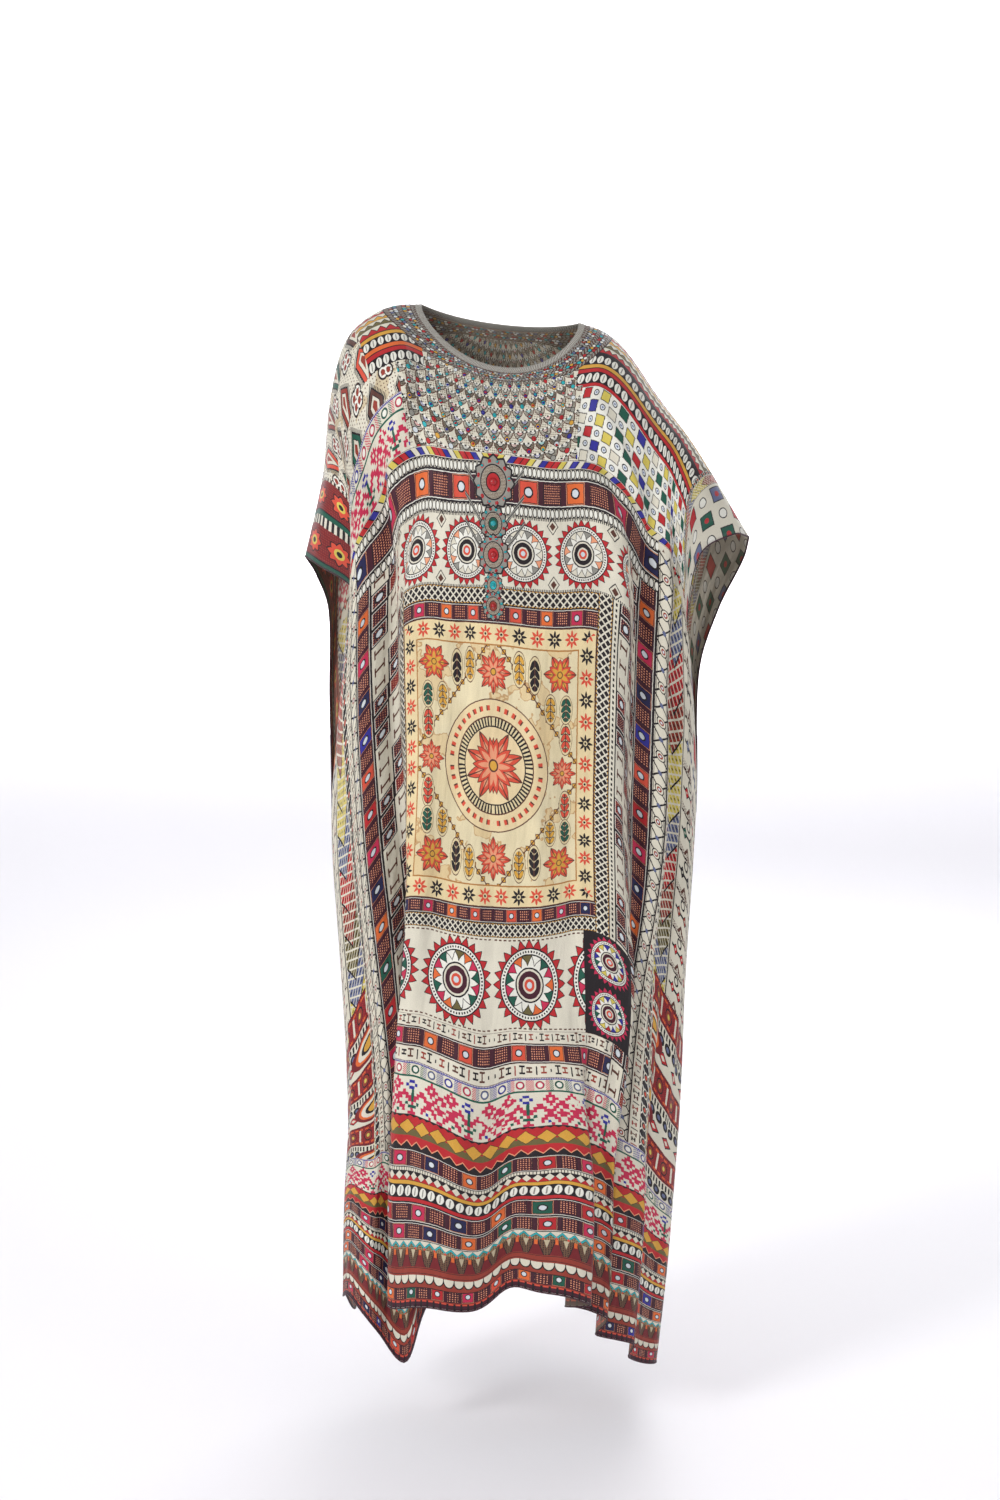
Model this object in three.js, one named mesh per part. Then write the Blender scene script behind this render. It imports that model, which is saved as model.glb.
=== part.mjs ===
// A long, loose kaftan as it hangs from a pair of shoulders: a front panel, a back panel and a bound neck.
// The panels are sewn along the shoulders and upper arms and down the sides. Cuffs, neck and hem are open.
// Millimetres. +Z is up, the front faces -Y, and +X is to the right of someone who looks at the front.
// The origin is where the garment is held: between the shoulders, at the height of the neck's sides.
import * as THREE from "three";

// The flat cut
const LENGTH = 1372; // from the shoulder line to the hem, down the middle
const HALF_WIDTH = 510; // from the middle to the cuff edge
const SIDE_RISE = 238; // how much higher the curved hem lies at the side edges
const CUFF_OPENING = 400; // the unsewn side edge, from the cuff's top to the side seam
const NECK_HALF_WIDTH = 112;
const NECK_SHARE = NECK_HALF_WIDTH / HALF_WIDTH;

// The cloth and its seams
const CLOTH = 1.2; // wall of the printed silk
const SEAM_GAP = 0.3; // between two sewn pieces
const BAND_WIDTH = 9; // the neck binding
const BAND_THICK = 2.4;

// How finely the walls are divided
const SIDE_COLUMNS = 24; // from the neck to each cuff
const NECK_COLUMNS = 16;
const NECK_ROUNDING = 0.6; // 0 spaces those columns evenly across, 1 evenly along the curve
const NECK_ROW_FADE = 7; // how soon the rows below the neck run level
const PANEL_ROWS = 25;
const ROW_CROWDING = 1.18; // above 1, the rows are closer together over the shoulders
const PLEAT_CROWDING = { extra: 2.6, reach: 1.3 }; // more columns at a pleat, out to reach times its width
const SLOPE_STEP = { across: 0.004, down: 3 }; // a share of the half width, and mm of cloth
const BEND_STEPS = 30;
const SPREAD_STEPS = 400;

// The neck's cut, and how the cloth below it bends to the chest or the upper back. depth: of the cut at its
// middle; peak: 0 for a round bend, 1 for a slope; roll: how much taller the bend is than beside the neck.
const NECKS = {
  front: { depth: 116, peak: 1, roll: 84 },
  back: { depth: 46, peak: 0.4, roll: 30 },
};
const NECK_FADE = 0.31; // share of the half width over which the neck's bend turns into the shoulder's
const ROUND_BEND = 2;
const SLOPED_BEND = { rise: 1.6, run: 1 };

// The line over both shoulders, on which the two panels meet. roll: height of the cloth's bend there.
const SHOULDERS = [
  { share: -1.0, x: -260, y: 0, z: -338, roll: 34 },
  { share: -0.766, x: -236, y: 2, z: -232, roll: 46 },
  { share: -0.571, x: -225, y: 3, z: -130, roll: 55 },
  { share: -0.43, x: -203, y: 5, z: -52, roll: 70 },
  { share: -0.321, x: -161, y: 9, z: -15, roll: 92 },
  { share: -0.22, x: -113, y: 14, z: -6, roll: 110 },
  { share: 0.22, x: 113, y: 14, z: -33, roll: 110 },
  { share: 0.337, x: 159, y: 11, z: -58, roll: 92 },
  { share: 0.493, x: 209, y: 8, z: -126, roll: 70 },
  { share: 0.657, x: 254, y: 10, z: -186, roll: 58 },
  { share: 0.844, x: 304, y: 12, z: -266, roll: 44 },
  { share: 1.0, x: 333, y: 10, z: -313, roll: 32 },
];

// The open cuff edges. share: 0 at the cuff's top, 1 where the side seam begins.
const CUFFS = {
  front: {
    left: [
      { share: 0.0, x: -260, y: 0, z: -338 },
      { share: 0.1, x: -240, y: -42, z: -346 },
      { share: 0.24, x: -193, y: -58, z: -378 },
      { share: 0.45, x: -184, y: -50, z: -462 },
      { share: 0.72, x: -205, y: -24, z: -580 },
      { share: 1.0, x: -226, y: 0, z: -690 },
    ],
    right: [
      { share: 0.0, x: 333, y: 10, z: -313 },
      { share: 0.1, x: 310, y: -32, z: -306 },
      { share: 0.28, x: 262, y: -62, z: -332 },
      { share: 0.5, x: 246, y: -54, z: -430 },
      { share: 0.75, x: 256, y: -26, z: -545 },
      { share: 1.0, x: 266, y: 0, z: -666 },
    ],
  },
  back: {
    left: [
      { share: 0.0, x: -260, y: 0, z: -338 },
      { share: 0.12, x: -248, y: 36, z: -364 },
      { share: 0.3, x: -232, y: 52, z: -416 },
      { share: 0.6, x: -231, y: 42, z: -535 },
      { share: 1.0, x: -226, y: 0, z: -690 },
    ],
    right: [
      { share: 0.0, x: 333, y: 10, z: -313 },
      { share: 0.12, x: 328, y: 42, z: -345 },
      { share: 0.35, x: 296, y: 58, z: -415 },
      { share: 0.6, x: 270, y: 46, z: -500 },
      { share: 1.0, x: 266, y: 0, z: -666 },
    ],
  },
};

// The worn outline by height: the side edges, and how far the middle of each panel stands out.
const LEVELS = [
  { z: 40, left: -150, right: 150, front: -96, back: 74 },
  { z: -100, left: -205, right: 205, front: -124, back: 96 },
  { z: -210, left: -228, right: 250, front: -144, back: 108 },
  { z: -330, left: -236, right: 276, front: -150, back: 110 },
  { z: -474, left: -235, right: 270, front: -146, back: 106 },
  { z: -614, left: -230, right: 266, front: -144, back: 108 },
  { z: -737, left: -227, right: 262, front: -148, back: 114 },
  { z: -875, left: -218, right: 254, front: -156, back: 122 },
  { z: -1015, left: -210, right: 248, front: -164, back: 130 },
  { z: -1156, left: -207, right: 241, front: -171, back: 138 },
  { z: -1300, left: -211, right: 231, front: -178, back: 146 },
  { z: -1480, left: -214, right: 212, front: -184, back: 152 },
];

// Folds where the cloth doubles back under itself. place: share of the half width; take: share of it that is
// folded away; step: how far the outer layer drops behind the inner one. They grow from the height starts to
// the height full.
const PLEATS = {
  front: [
    { place: -0.37, width: 0.06, take: 0.23, step: 32, starts: -520, full: -1120 },
    { place: -0.66, width: 0.08, take: 0.1, step: -14, starts: -700, full: -1250 },
    { place: 0.26, width: 0.055, take: 0.14, step: 36, starts: -880, full: -1180 },
    { place: 0.47, width: 0.06, take: 0.11, step: 32, starts: -640, full: -1020 },
    { place: 0.7, width: 0.06, take: 0.09, step: 18, starts: -860, full: -1260 },
  ],
  back: [
    { place: -0.52, width: 0.07, take: 0.16, step: 22, starts: -420, full: -1100 },
    { place: -0.22, width: 0.06, take: 0.11, step: -16, starts: -640, full: -1240 },
    { place: 0.3, width: 0.06, take: 0.13, step: 20, starts: -520, full: -1180 },
    { place: 0.62, width: 0.07, take: 0.13, step: 30, starts: -360, full: -1080 },
  ],
};

// Rounded ridges and hollows that hang from the shoulders. height: how far they stand out of the panel. They
// grow from the height starts to full, and die out from fades to gone.
const DRAPES = {
  front: [
    { place: -0.47, width: 0.07, height: -34, starts: -120, full: -330, fades: -760, gone: -1050 },
    { place: -0.3, width: 0.07, height: 8, starts: -260, full: -420, fades: -800, gone: -1100 },
    { place: 0.36, width: 0.06, height: 12, starts: -120, full: -320, fades: -700, gone: -980 },
    { place: 0.5, width: 0.06, height: -20, starts: -160, full: -380, fades: -640, gone: -900 },
    { place: 0.58, width: 0.06, height: 10, starts: -200, full: -420, fades: -760, gone: -1000 },
    { place: 0.66, width: 0.06, height: -14, starts: -200, full: -420, fades: -760, gone: -1000 },
  ],
  back: [],
};

// Ridges and hollows that last to the hem. lift: how far the hem is raised there.
const WAVES = {
  front: [
    { place: -0.84, width: 0.14, height: 8, lift: 110, starts: -960, full: -1400 },
    { place: -0.55, width: 0.07, height: -14, lift: -66, starts: -800, full: -1150 },
    { place: -0.3, width: 0.09, height: 0, lift: -38, starts: -900, full: -1380 },
    { place: -0.17, width: 0.1, height: 17, lift: 0, starts: -760, full: -1200 },
    { place: 0.03, width: 0.07, height: -20, lift: 34, starts: -800, full: -1240 },
    { place: 0.14, width: 0.08, height: 12, lift: 32, starts: -860, full: -1240 },
    { place: 0.88, width: 0.05, height: 9, lift: 0, starts: -820, full: -1150 },
  ],
  back: [
    { place: -0.84, width: 0.15, height: 8, lift: 96, starts: -960, full: -1400 },
    { place: -0.66, width: 0.07, height: -18, lift: 0, starts: -160, full: -420 },
    { place: -0.36, width: 0.08, height: 14, lift: 0, starts: -260, full: -620 },
    { place: 0.0, width: 0.12, height: -16, lift: 0, starts: -260, full: -620 },
    { place: 0.16, width: 0.08, height: 13, lift: 6, starts: -360, full: -800 },
    { place: 0.46, width: 0.07, height: -22, lift: 0, starts: -160, full: -400 },
    { place: 0.8, width: 0.07, height: 12, lift: 0, starts: -560, full: -1000 },
  ],
};

// Each side seam turns in under the cloth towards the hem.
const TUCKS = {
  left: { inward: 14, lift: 92, reach: 0.15, starts: -1040, full: -1440 },
  right: { inward: -22, lift: -14, reach: 0.1, starts: -1180, full: -1460 },
};

const PLEAT_ROUNDING = 1.4; // the step is spread over more cloth than the turning back, to round the folds
const PLEAT_SPREAD = 3.2; // how far past its own width a pleat's step dies away
const SEAM_CALM = 0.9; // past this share of the half width the folds die away towards the side seam
const LEAST_FORWARD = 0.25; // folds near the sides still stand out this share of their height to the front
const SIDE_POWER = 0.9; // below 1, the panels are a little squarer than an ellipse
const SIDEWAYS_SETTLE = 330; // cloth over which a column moves from the shoulder to its place in the body
const CUFF_REACH = { from: 0.45, to: 1 };
const CUFF_FADE = { from: 0.82, to: 1.12 };
const SEAM_START = 0.95; // share of the cuff opening from which the two edges run side by side

function clamp01(value) {
  return Math.min(1, Math.max(0, value));
}

function mix(a, b, share) {
  return a + (b - a) * share;
}

function smooth(from, to, value) {
  const k = clamp01((value - from) / (to - from));
  return k * k * (3 - 2 * k);
}

// One column of a table at a given key, through its rows on a smooth curve.
function follow(rows, key, at, column) {
  const last = rows.length - 1;
  const rising = rows[last][key] > rows[0][key];
  const before = (row) => (rising ? row[key] <= at : row[key] >= at);
  let i = 0;
  while (i < last - 1 && before(rows[i + 1])) i++;
  const slope = (j) => {
    const a = rows[Math.max(0, j - 1)];
    const b = rows[Math.min(last, j + 1)];
    return (b[column] - a[column]) / (b[key] - a[key]);
  };
  const from = rows[i];
  const to = rows[i + 1];
  const span = to[key] - from[key];
  const k = clamp01((at - from[key]) / span);
  const k2 = k * k;
  const k3 = k2 * k;
  return (
    from[column] * (2 * k3 - 3 * k2 + 1) +
    to[column] * (3 * k2 - 2 * k3) +
    slope(i) * span * (k3 - 2 * k2 + k) +
    slope(i + 1) * span * (k3 - k2)
  );
}

function handOf(s) {
  return s < 0 ? "left" : "right";
}

// Where a column crosses the shoulder line, and how it bends there. Within the neck that line is imagined.
function shoulder(side, s) {
  const [x, y, z, roll] = ["x", "y", "z", "roll"].map((c) => follow(SHOULDERS, "share", s, c));
  const nearNeck = Math.exp(-((s / NECK_FADE) ** 4));
  const neck = NECKS[side];
  return { x, y, z, roll: roll + neck.roll * nearNeck, peak: neck.peak * nearNeck };
}

// 1 where a fold lies, and less to either side of it.
function nearness(fold, s) {
  return Math.exp(-(((s - fold.place) / fold.width) ** 2));
}

function pleatGrowth(pleat, z) {
  return smooth(pleat.starts, pleat.full, z);
}

// Where a column lies round the worn outline at a height, once the pleats have taken up their cloth.
function placeRound(side, s, z) {
  const taken = (at) =>
    PLEATS[side].reduce(
      (sum, p) => sum + p.take * pleatGrowth(p, z) * smooth(p.place - p.width, p.place + p.width, at),
      0,
    );
  const atMiddle = taken(0);
  const raw = s - (taken(s) - atMiddle);
  const end = s < 0 ? -1 : 1;
  const atEnd = end - (taken(end) - atMiddle);
  return (raw / atEnd) * end;
}

// A point of the worn outline at a height, with its pleats, drapes and waves.
function bodyPoint(side, s, z) {
  const level = (column) => follow(LEVELS, "z", z, column);
  const angle = placeRound(side, s, z) * (Math.PI / 2);
  const across = Math.sin(angle);
  const along = Math.max(0, Math.cos(angle)) ** SIDE_POWER;
  const sideX = s < 0 ? -level("left") : level("right");
  const facing = side === "front" ? -1 : 1;
  let out = 0;
  let lift = 0;
  for (const p of PLEATS[side]) {
    const outward = Math.sign(p.place) * (s - p.place);
    const step = 0.5 - smooth(-p.width * PLEAT_ROUNDING, p.width * PLEAT_ROUNDING, outward);
    const near = Math.exp(-((outward / (p.width * PLEAT_SPREAD)) ** 2));
    out += p.step * step * near * pleatGrowth(p, z);
  }
  for (const d of DRAPES[side]) {
    out += d.height * nearness(d, s) * smooth(d.starts, d.full, z) * (1 - smooth(d.fades, d.gone, z));
  }
  for (const w of WAVES[side]) {
    const grown = nearness(w, s) * smooth(w.starts, w.full, z);
    out += w.height * grown;
    lift += w.lift * grown;
  }
  const tuck = TUCKS[handOf(s)];
  const tucked = smooth(1 - tuck.reach, 1, Math.abs(s)) * smooth(tuck.starts, tuck.full, z);
  const edge = 1 - smooth(SEAM_CALM, 1, Math.abs(s));
  return {
    x: across * sideX + out * edge * across + tuck.inward * tucked,
    y: level(side) * along + out * edge * facing * Math.max(LEAST_FORWARD, along),
    lift: lift * edge + tuck.lift * tucked,
  };
}

// How far forward and down a length of cloth reaches along a bend of the given size.
function bendReach(reach, top, cloth) {
  const rise = mix(ROUND_BEND, SLOPED_BEND.rise, top.peak);
  const run = mix(ROUND_BEND, SLOPED_BEND.run, top.peak);
  let length = 0;
  let from = { out: 0, down: 0 };
  for (let k = 1; k <= BEND_STEPS; k++) {
    const down = (k / BEND_STEPS) ** 2;
    const to = { out: (1 - (1 - down) ** rise) ** (1 / run), down };
    const step = Math.hypot(reach * (to.out - from.out), top.roll * (to.down - from.down));
    if (length + step >= cloth) {
      const part = (cloth - length) / step;
      return { out: mix(from.out, to.out, part), down: top.roll * mix(from.down, to.down, part) };
    }
    length += step;
    from = to;
  }
  return { out: 1, down: top.roll + cloth - length };
}

// A column of cloth bends over the shoulder, and then hangs.
function hang(side, s, cloth) {
  const top = shoulder(side, s);
  const reach = Math.abs(bodyPoint(side, s, top.z - top.roll).y - top.y);
  const { out, down } = bendReach(reach, top, cloth);
  const z = top.z - down;
  const at = bodyPoint(side, s, z);
  const settled = smooth(0, SIDEWAYS_SETTLE, cloth);
  return new THREE.Vector3(mix(top.x, at.x, settled), mix(top.y, at.y, out), z + at.lift);
}

// The cloth between the shoulder line and a point of the cut, t from 0 at its top edge to 1 at the hem.
function cutDepth(side, s, t) {
  const neckDepth = NECKS[side].depth * Math.sqrt(Math.max(0, 1 - (s / NECK_SHARE) ** 2));
  return neckDepth * (1 - t) ** NECK_ROW_FADE + LENGTH * t - SIDE_RISE * s * s * t ** 3;
}

// The worn surface of a panel: s from -1 to 1 across, and the depth of cloth below the shoulder line.
function worn(side, s, cloth) {
  const point = hang(side, s, cloth);
  const hold = smooth(CUFF_REACH.from, CUFF_REACH.to, Math.abs(s));
  const share = cloth / CUFF_OPENING;
  const stay = hold * (1 - smooth(CUFF_FADE.from, CUFF_FADE.to, share));
  if (stay > 0) {
    const rows = CUFFS[side][handOf(s)];
    const free = hang(side, Math.sign(s), cloth);
    for (const c of ["x", "y", "z"]) {
      point[c] += (follow(rows, "share", share, c) - free[c]) * stay;
    }
  }
  return point;
}

function panelNormal(side, s, cloth) {
  const { across, down } = SLOPE_STEP;
  const left = worn(side, Math.max(-1, s - across), cloth);
  const right = worn(side, Math.min(1, s + across), cloth);
  const above = worn(side, s, Math.max(0, cloth - down));
  const below = worn(side, s, cloth + down);
  const normal = below.sub(above).cross(right.sub(left)).normalize();
  return side === "front" ? normal : normal.negate();
}

function sewn(s, cloth) {
  return cloth === 0 || (Math.abs(s) === 1 && cloth >= CUFF_OPENING * SEAM_START);
}

// The cloth's outward direction, shared by both panels where they are sewn together.
function outward(side, s, cloth) {
  const normal = panelNormal(side, s, cloth);
  if (sewn(s, cloth)) {
    normal.add(panelNormal(side === "front" ? "back" : "front", s, cloth)).normalize();
  }
  return normal;
}

// A wall from a grid of outer and inner points, closed at its rims. ring: its columns join end to end.
function wallGeometry(outer, inner, ring = false) {
  const rows = outer.length;
  const columns = outer[0].length;
  const positions = [...outer.flat(), ...inner.flat()].flatMap((p) => [p.x, p.y, p.z]);
  const index = [];
  const at = (layer, r, c) => layer * rows * columns + r * columns + (c % columns);
  const quad = (a, b, c, d) => index.push(a, b, c, a, c, d);
  const far = (r1, c1, r2, c2) => outer[r1][c1 % columns].distanceTo(outer[r2][c2 % columns]);
  const spans = ring ? columns : columns - 1;
  for (let c = 0; c < spans; c++) {
    for (let r = 0; r + 1 < rows; r++) {
      const cell = [[r, c], [r + 1, c], [r + 1, c + 1], [r, c + 1]];
      if (far(r, c, r + 1, c + 1) > far(r + 1, c, r, c + 1)) cell.push(cell.shift());
      quad(...cell.map(([row, column]) => at(0, row, column)));
      quad(...[0, 3, 2, 1].map((k) => at(1, ...cell[k])));
    }
    quad(at(0, 0, c), at(0, 0, c + 1), at(1, 0, c + 1), at(1, 0, c));
    const end = rows - 1;
    quad(at(0, end, c), at(1, end, c), at(1, end, c + 1), at(0, end, c + 1));
  }
  for (let r = 0; !ring && r + 1 < rows; r++) {
    const end = columns - 1;
    quad(at(0, r, 0), at(1, r, 0), at(1, r + 1, 0), at(0, r + 1, 0));
    quad(at(0, r, end), at(0, r + 1, end), at(1, r + 1, end), at(1, r, end));
  }
  const geometry = new THREE.BufferGeometry();
  geometry.setAttribute("position", new THREE.Float32BufferAttribute(positions, 3));
  geometry.setIndex(index);
  geometry.computeVertexNormals();
  return geometry;
}

// Places from one share of the width to another, closer together where either panel's pleats turn.
function spread(from, to, count) {
  const { extra, reach } = PLEAT_CROWDING;
  const pleats = [...PLEATS.front, ...PLEATS.back].map((p) => ({ place: p.place, width: p.width * reach }));
  const crowding = (s) => 1 + pleats.reduce((sum, pleat) => sum + extra * nearness(pleat, s), 0);
  const sums = [0];
  for (let i = 0; i < SPREAD_STEPS; i++) {
    sums.push(sums[i] + crowding(mix(from, to, (i + 0.5) / SPREAD_STEPS)));
  }
  const places = [];
  let i = 0;
  for (let k = 0; k < count; k++) {
    const wanted = (sums[SPREAD_STEPS] * k) / count;
    while (sums[i + 1] < wanted) i++;
    places.push(mix(from, to, (i + (wanted - sums[i]) / (sums[i + 1] - sums[i])) / SPREAD_STEPS));
  }
  return places;
}

function neckPlaces() {
  return Array.from({ length: NECK_COLUMNS }, (_, i) => {
    const even = (2 * i) / NECK_COLUMNS - 1;
    const round = -Math.cos((Math.PI * i) / NECK_COLUMNS);
    return NECK_SHARE * mix(even, round, NECK_ROUNDING);
  });
}

// Both panels have the same places, so that their sewn edges run side by side.
function columnPlaces() {
  const left = spread(-1, -NECK_SHARE, SIDE_COLUMNS);
  const right = spread(NECK_SHARE, 1, SIDE_COLUMNS);
  return [...left, ...neckPlaces(), ...right, 1];
}

function rowPlaces() {
  return Array.from({ length: PANEL_ROWS + 1 }, (_, i) => (i / PANEL_ROWS) ** ROW_CROWDING);
}

function panelGeometry(side) {
  const facing = side === "front" ? -1 : 1;
  const outer = [];
  const inner = [];
  const columns = columnPlaces();
  if (side === "back") columns.reverse();
  for (const t of rowPlaces()) {
    const outerRow = [];
    const innerRow = [];
    for (const s of columns) {
      const cloth = cutDepth(side, s, t);
      const normal = outward(side, s, cloth);
      const point = worn(side, s, cloth);
      point.y += (facing * SEAM_GAP) / 2;
      outerRow.push(point.clone().addScaledVector(normal, CLOTH / 2));
      innerRow.push(point.clone().addScaledVector(normal, -CLOTH / 2));
    }
    outer.push(outerRow);
    inner.push(innerRow);
  }
  return wallGeometry(outer, inner);
}

// The binding continues both panels into the neck opening, station by station round the neck line.
function neckBandGeometry() {
  const front = neckPlaces().map((s) => ({ side: "front", s }));
  const back = neckPlaces().map((s) => ({ side: "back", s: -s }));
  const stations = [...front, ...back].map(({ side, s }) => {
    const cloth = cutDepth(side, s, 0);
    return { point: worn(side, s, cloth), normal: outward(side, s, cloth) };
  });
  const outer = [[], []];
  const inner = [[], []];
  stations.forEach(({ point, normal }, i) => {
    const before = stations.at(i - 1).point;
    const after = stations[(i + 1) % stations.length].point;
    const inwards = normal.clone().cross(after.clone().sub(before)).normalize();
    [SEAM_GAP + BAND_WIDTH, SEAM_GAP].forEach((reach, row) => {
      const edge = point.clone().addScaledVector(inwards, reach);
      outer[row].push(edge.clone().addScaledVector(normal, BAND_THICK / 2));
      inner[row].push(edge.clone().addScaledVector(normal, -BAND_THICK / 2));
    });
  });
  return wallGeometry(outer, inner, true);
}

const printedSilk = new THREE.MeshStandardMaterial({ color: 0xc9bda0, roughness: 0.62, metalness: 0 });
const beadedBinding = new THREE.MeshStandardMaterial({ color: 0x8b8778, roughness: 0.5, metalness: 0.1 });

function piece(name, geometry, material) {
  const mesh = new THREE.Mesh(geometry, material);
  mesh.name = name;
  return mesh;
}

const kaftan = new THREE.Group();
kaftan.add(piece("front_panel", panelGeometry("front"), printedSilk));
kaftan.add(piece("back_panel", panelGeometry("back"), printedSilk));
kaftan.add(piece("neck_binding", neckBandGeometry(), beadedBinding));

export default kaftan;
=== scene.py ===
"""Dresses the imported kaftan: two printed silk panels, the beaded neck band, rolled hems and small stones."""

import math
from collections import namedtuple
from functools import partial, partialmethod

import bmesh
import bpy
import numpy as np
from mathutils import Matrix, Vector


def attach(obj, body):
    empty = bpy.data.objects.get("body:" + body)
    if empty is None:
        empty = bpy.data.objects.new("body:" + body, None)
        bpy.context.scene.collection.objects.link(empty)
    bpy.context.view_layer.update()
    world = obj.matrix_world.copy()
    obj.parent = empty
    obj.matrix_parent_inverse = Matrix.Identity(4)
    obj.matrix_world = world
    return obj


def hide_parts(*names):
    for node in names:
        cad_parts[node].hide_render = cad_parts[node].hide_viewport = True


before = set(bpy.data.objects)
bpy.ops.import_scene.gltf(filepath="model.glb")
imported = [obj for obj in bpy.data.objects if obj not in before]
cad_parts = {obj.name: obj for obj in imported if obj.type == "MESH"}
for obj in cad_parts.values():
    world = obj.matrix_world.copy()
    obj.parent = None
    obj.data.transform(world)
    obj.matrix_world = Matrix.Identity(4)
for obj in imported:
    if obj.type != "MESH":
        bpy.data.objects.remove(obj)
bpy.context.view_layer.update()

MM = 0.001

# The flat cut, in mm
LENGTH = 1372  # from the shoulder line to the hem, down the middle
HALF_WIDTH = 510  # from the middle to the cuff edge
SIDE_RISE = 238  # how much higher the curved hem lies at the side edges
CUFF_OPENING = 400  # the unsewn side edge, from the cuff's top to the side seam
NECK_HALF_WIDTH = 112
NECK_SHARE = NECK_HALF_WIDTH / HALF_WIDTH
NECKS = {
    "front": {"depth": 116, "peak": 1, "roll": 84},
    "back": {"depth": 46, "peak": 0.4, "roll": 30},
}
NECK_FADE = 0.31
ROUND_BEND = 2
SLOPED_BEND = {"rise": 1.6, "run": 1}
BEND_STEPS = 30


def table(columns, *rows):
    """A table as one array for each of its named columns."""
    values = np.array(rows, float).T
    return dict(zip(columns.split(), values))


# The line over both shoulders, on which the two panels meet
SHOULDERS = table(
    "share x y z roll",
    (-1.0, -260, 0, -338, 34),
    (-0.766, -236, 2, -232, 46),
    (-0.571, -225, 3, -130, 55),
    (-0.43, -203, 5, -52, 70),
    (-0.321, -161, 9, -15, 92),
    (-0.22, -113, 14, -6, 110),
    (0.22, 113, 14, -33, 110),
    (0.337, 159, 11, -58, 92),
    (0.493, 209, 8, -126, 70),
    (0.657, 254, 10, -186, 58),
    (0.844, 304, 12, -266, 44),
    (1.0, 333, 10, -313, 32),
)

# The open cuff edges, from the cuff's top to where the side seam begins
CUFFS = {
    ("front", "left"): table(
        "share x y z",
        (0.0, -260, 0, -338),
        (0.1, -240, -42, -346),
        (0.24, -193, -58, -378),
        (0.45, -184, -50, -462),
        (0.72, -205, -24, -580),
        (1.0, -226, 0, -690),
    ),
    ("front", "right"): table(
        "share x y z",
        (0.0, 333, 10, -313),
        (0.1, 310, -32, -306),
        (0.28, 262, -62, -332),
        (0.5, 246, -54, -430),
        (0.75, 256, -26, -545),
        (1.0, 266, 0, -666),
    ),
    ("back", "left"): table(
        "share x y z",
        (0.0, -260, 0, -338),
        (0.12, -248, 36, -364),
        (0.3, -232, 52, -416),
        (0.6, -231, 42, -535),
        (1.0, -226, 0, -690),
    ),
    ("back", "right"): table(
        "share x y z",
        (0.0, 333, 10, -313),
        (0.12, 328, 42, -345),
        (0.35, 296, 58, -415),
        (0.6, 270, 46, -500),
        (1.0, 266, 0, -666),
    ),
}

# The worn outline by height: the side edges, and how far the middle of each panel stands out
LEVELS = table(
    "z left right front back",
    (40, -150, 150, -96, 74),
    (-100, -205, 205, -124, 96),
    (-210, -228, 250, -144, 108),
    (-330, -236, 276, -150, 110),
    (-474, -235, 270, -146, 106),
    (-614, -230, 266, -144, 108),
    (-737, -227, 262, -148, 114),
    (-875, -218, 254, -156, 122),
    (-1015, -210, 248, -164, 130),
    (-1156, -207, 241, -171, 138),
    (-1300, -211, 231, -178, 146),
    (-1480, -214, 212, -184, 152),
)

PLEATS = {
    "front": (
        # place, width, take, step, starts, full
        (-0.37, 0.06, 0.23, 32, -520, -1120),
        (-0.66, 0.08, 0.1, -14, -700, -1250),
        (0.26, 0.055, 0.14, 36, -880, -1180),
        (0.47, 0.06, 0.11, 32, -640, -1020),
        (0.7, 0.06, 0.09, 18, -860, -1260),
    ),
    "back": (
        (-0.52, 0.07, 0.16, 22, -420, -1100),
        (-0.22, 0.06, 0.11, -16, -640, -1240),
        (0.3, 0.06, 0.13, 20, -520, -1180),
        (0.62, 0.07, 0.13, 30, -360, -1080),
    ),
}
# place width height starts full fades gone
DRAPES = {
    "front": (
        (-0.47, 0.07, -34, -120, -330, -760, -1050),
        (-0.3, 0.07, 8, -260, -420, -800, -1100),
        (0.36, 0.06, 12, -120, -320, -700, -980),
        (0.5, 0.06, -20, -160, -380, -640, -900),
        (0.58, 0.06, 10, -200, -420, -760, -1000),
        (0.66, 0.06, -14, -200, -420, -760, -1000),
    ),
    "back": (),
}
# place width height lift starts full
WAVES = {
    "front": (
        (-0.84, 0.14, 8, 110, -960, -1400),
        (-0.55, 0.07, -14, -66, -800, -1150),
        (-0.3, 0.09, 0, -38, -900, -1380),
        (-0.17, 0.1, 17, 0, -760, -1200),
        (0.03, 0.07, -20, 34, -800, -1240),
        (0.14, 0.08, 12, 32, -860, -1240),
        (0.88, 0.05, 9, 0, -820, -1150),
    ),
    "back": (
        (-0.84, 0.15, 8, 96, -960, -1400),
        (-0.66, 0.07, -18, 0, -160, -420),
        (-0.36, 0.08, 14, 0, -260, -620),
        (0.0, 0.12, -16, 0, -260, -620),
        (0.16, 0.08, 13, 6, -360, -800),
        (0.46, 0.07, -22, 0, -160, -400),
        (0.8, 0.07, 12, 0, -560, -1000),
    ),
}
TUCKS = {
    "left": {"inward": 14, "lift": 92, "reach": 0.15, "starts": -1040, "full": -1440},
    "right": {"inward": -22, "lift": -14, "reach": 0.1, "starts": -1180, "full": -1460},
}
PLEAT_ROUNDING = 1.4
PLEAT_SPREAD = 3.2
SEAM_CALM = 0.9
LEAST_FORWARD = 0.25
SIDE_POWER = 0.9
SIDEWAYS_SETTLE = 330
CUFF_REACH = (0.45, 1)
CUFF_FADE = (0.82, 1.12)


def mix(a, b, share):
    return a + (b - a) * share


def smooth(start, end, value):
    k = np.clip((value - start) / (end - start), 0, 1)
    return k * k * (3 - 2 * k)


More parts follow.
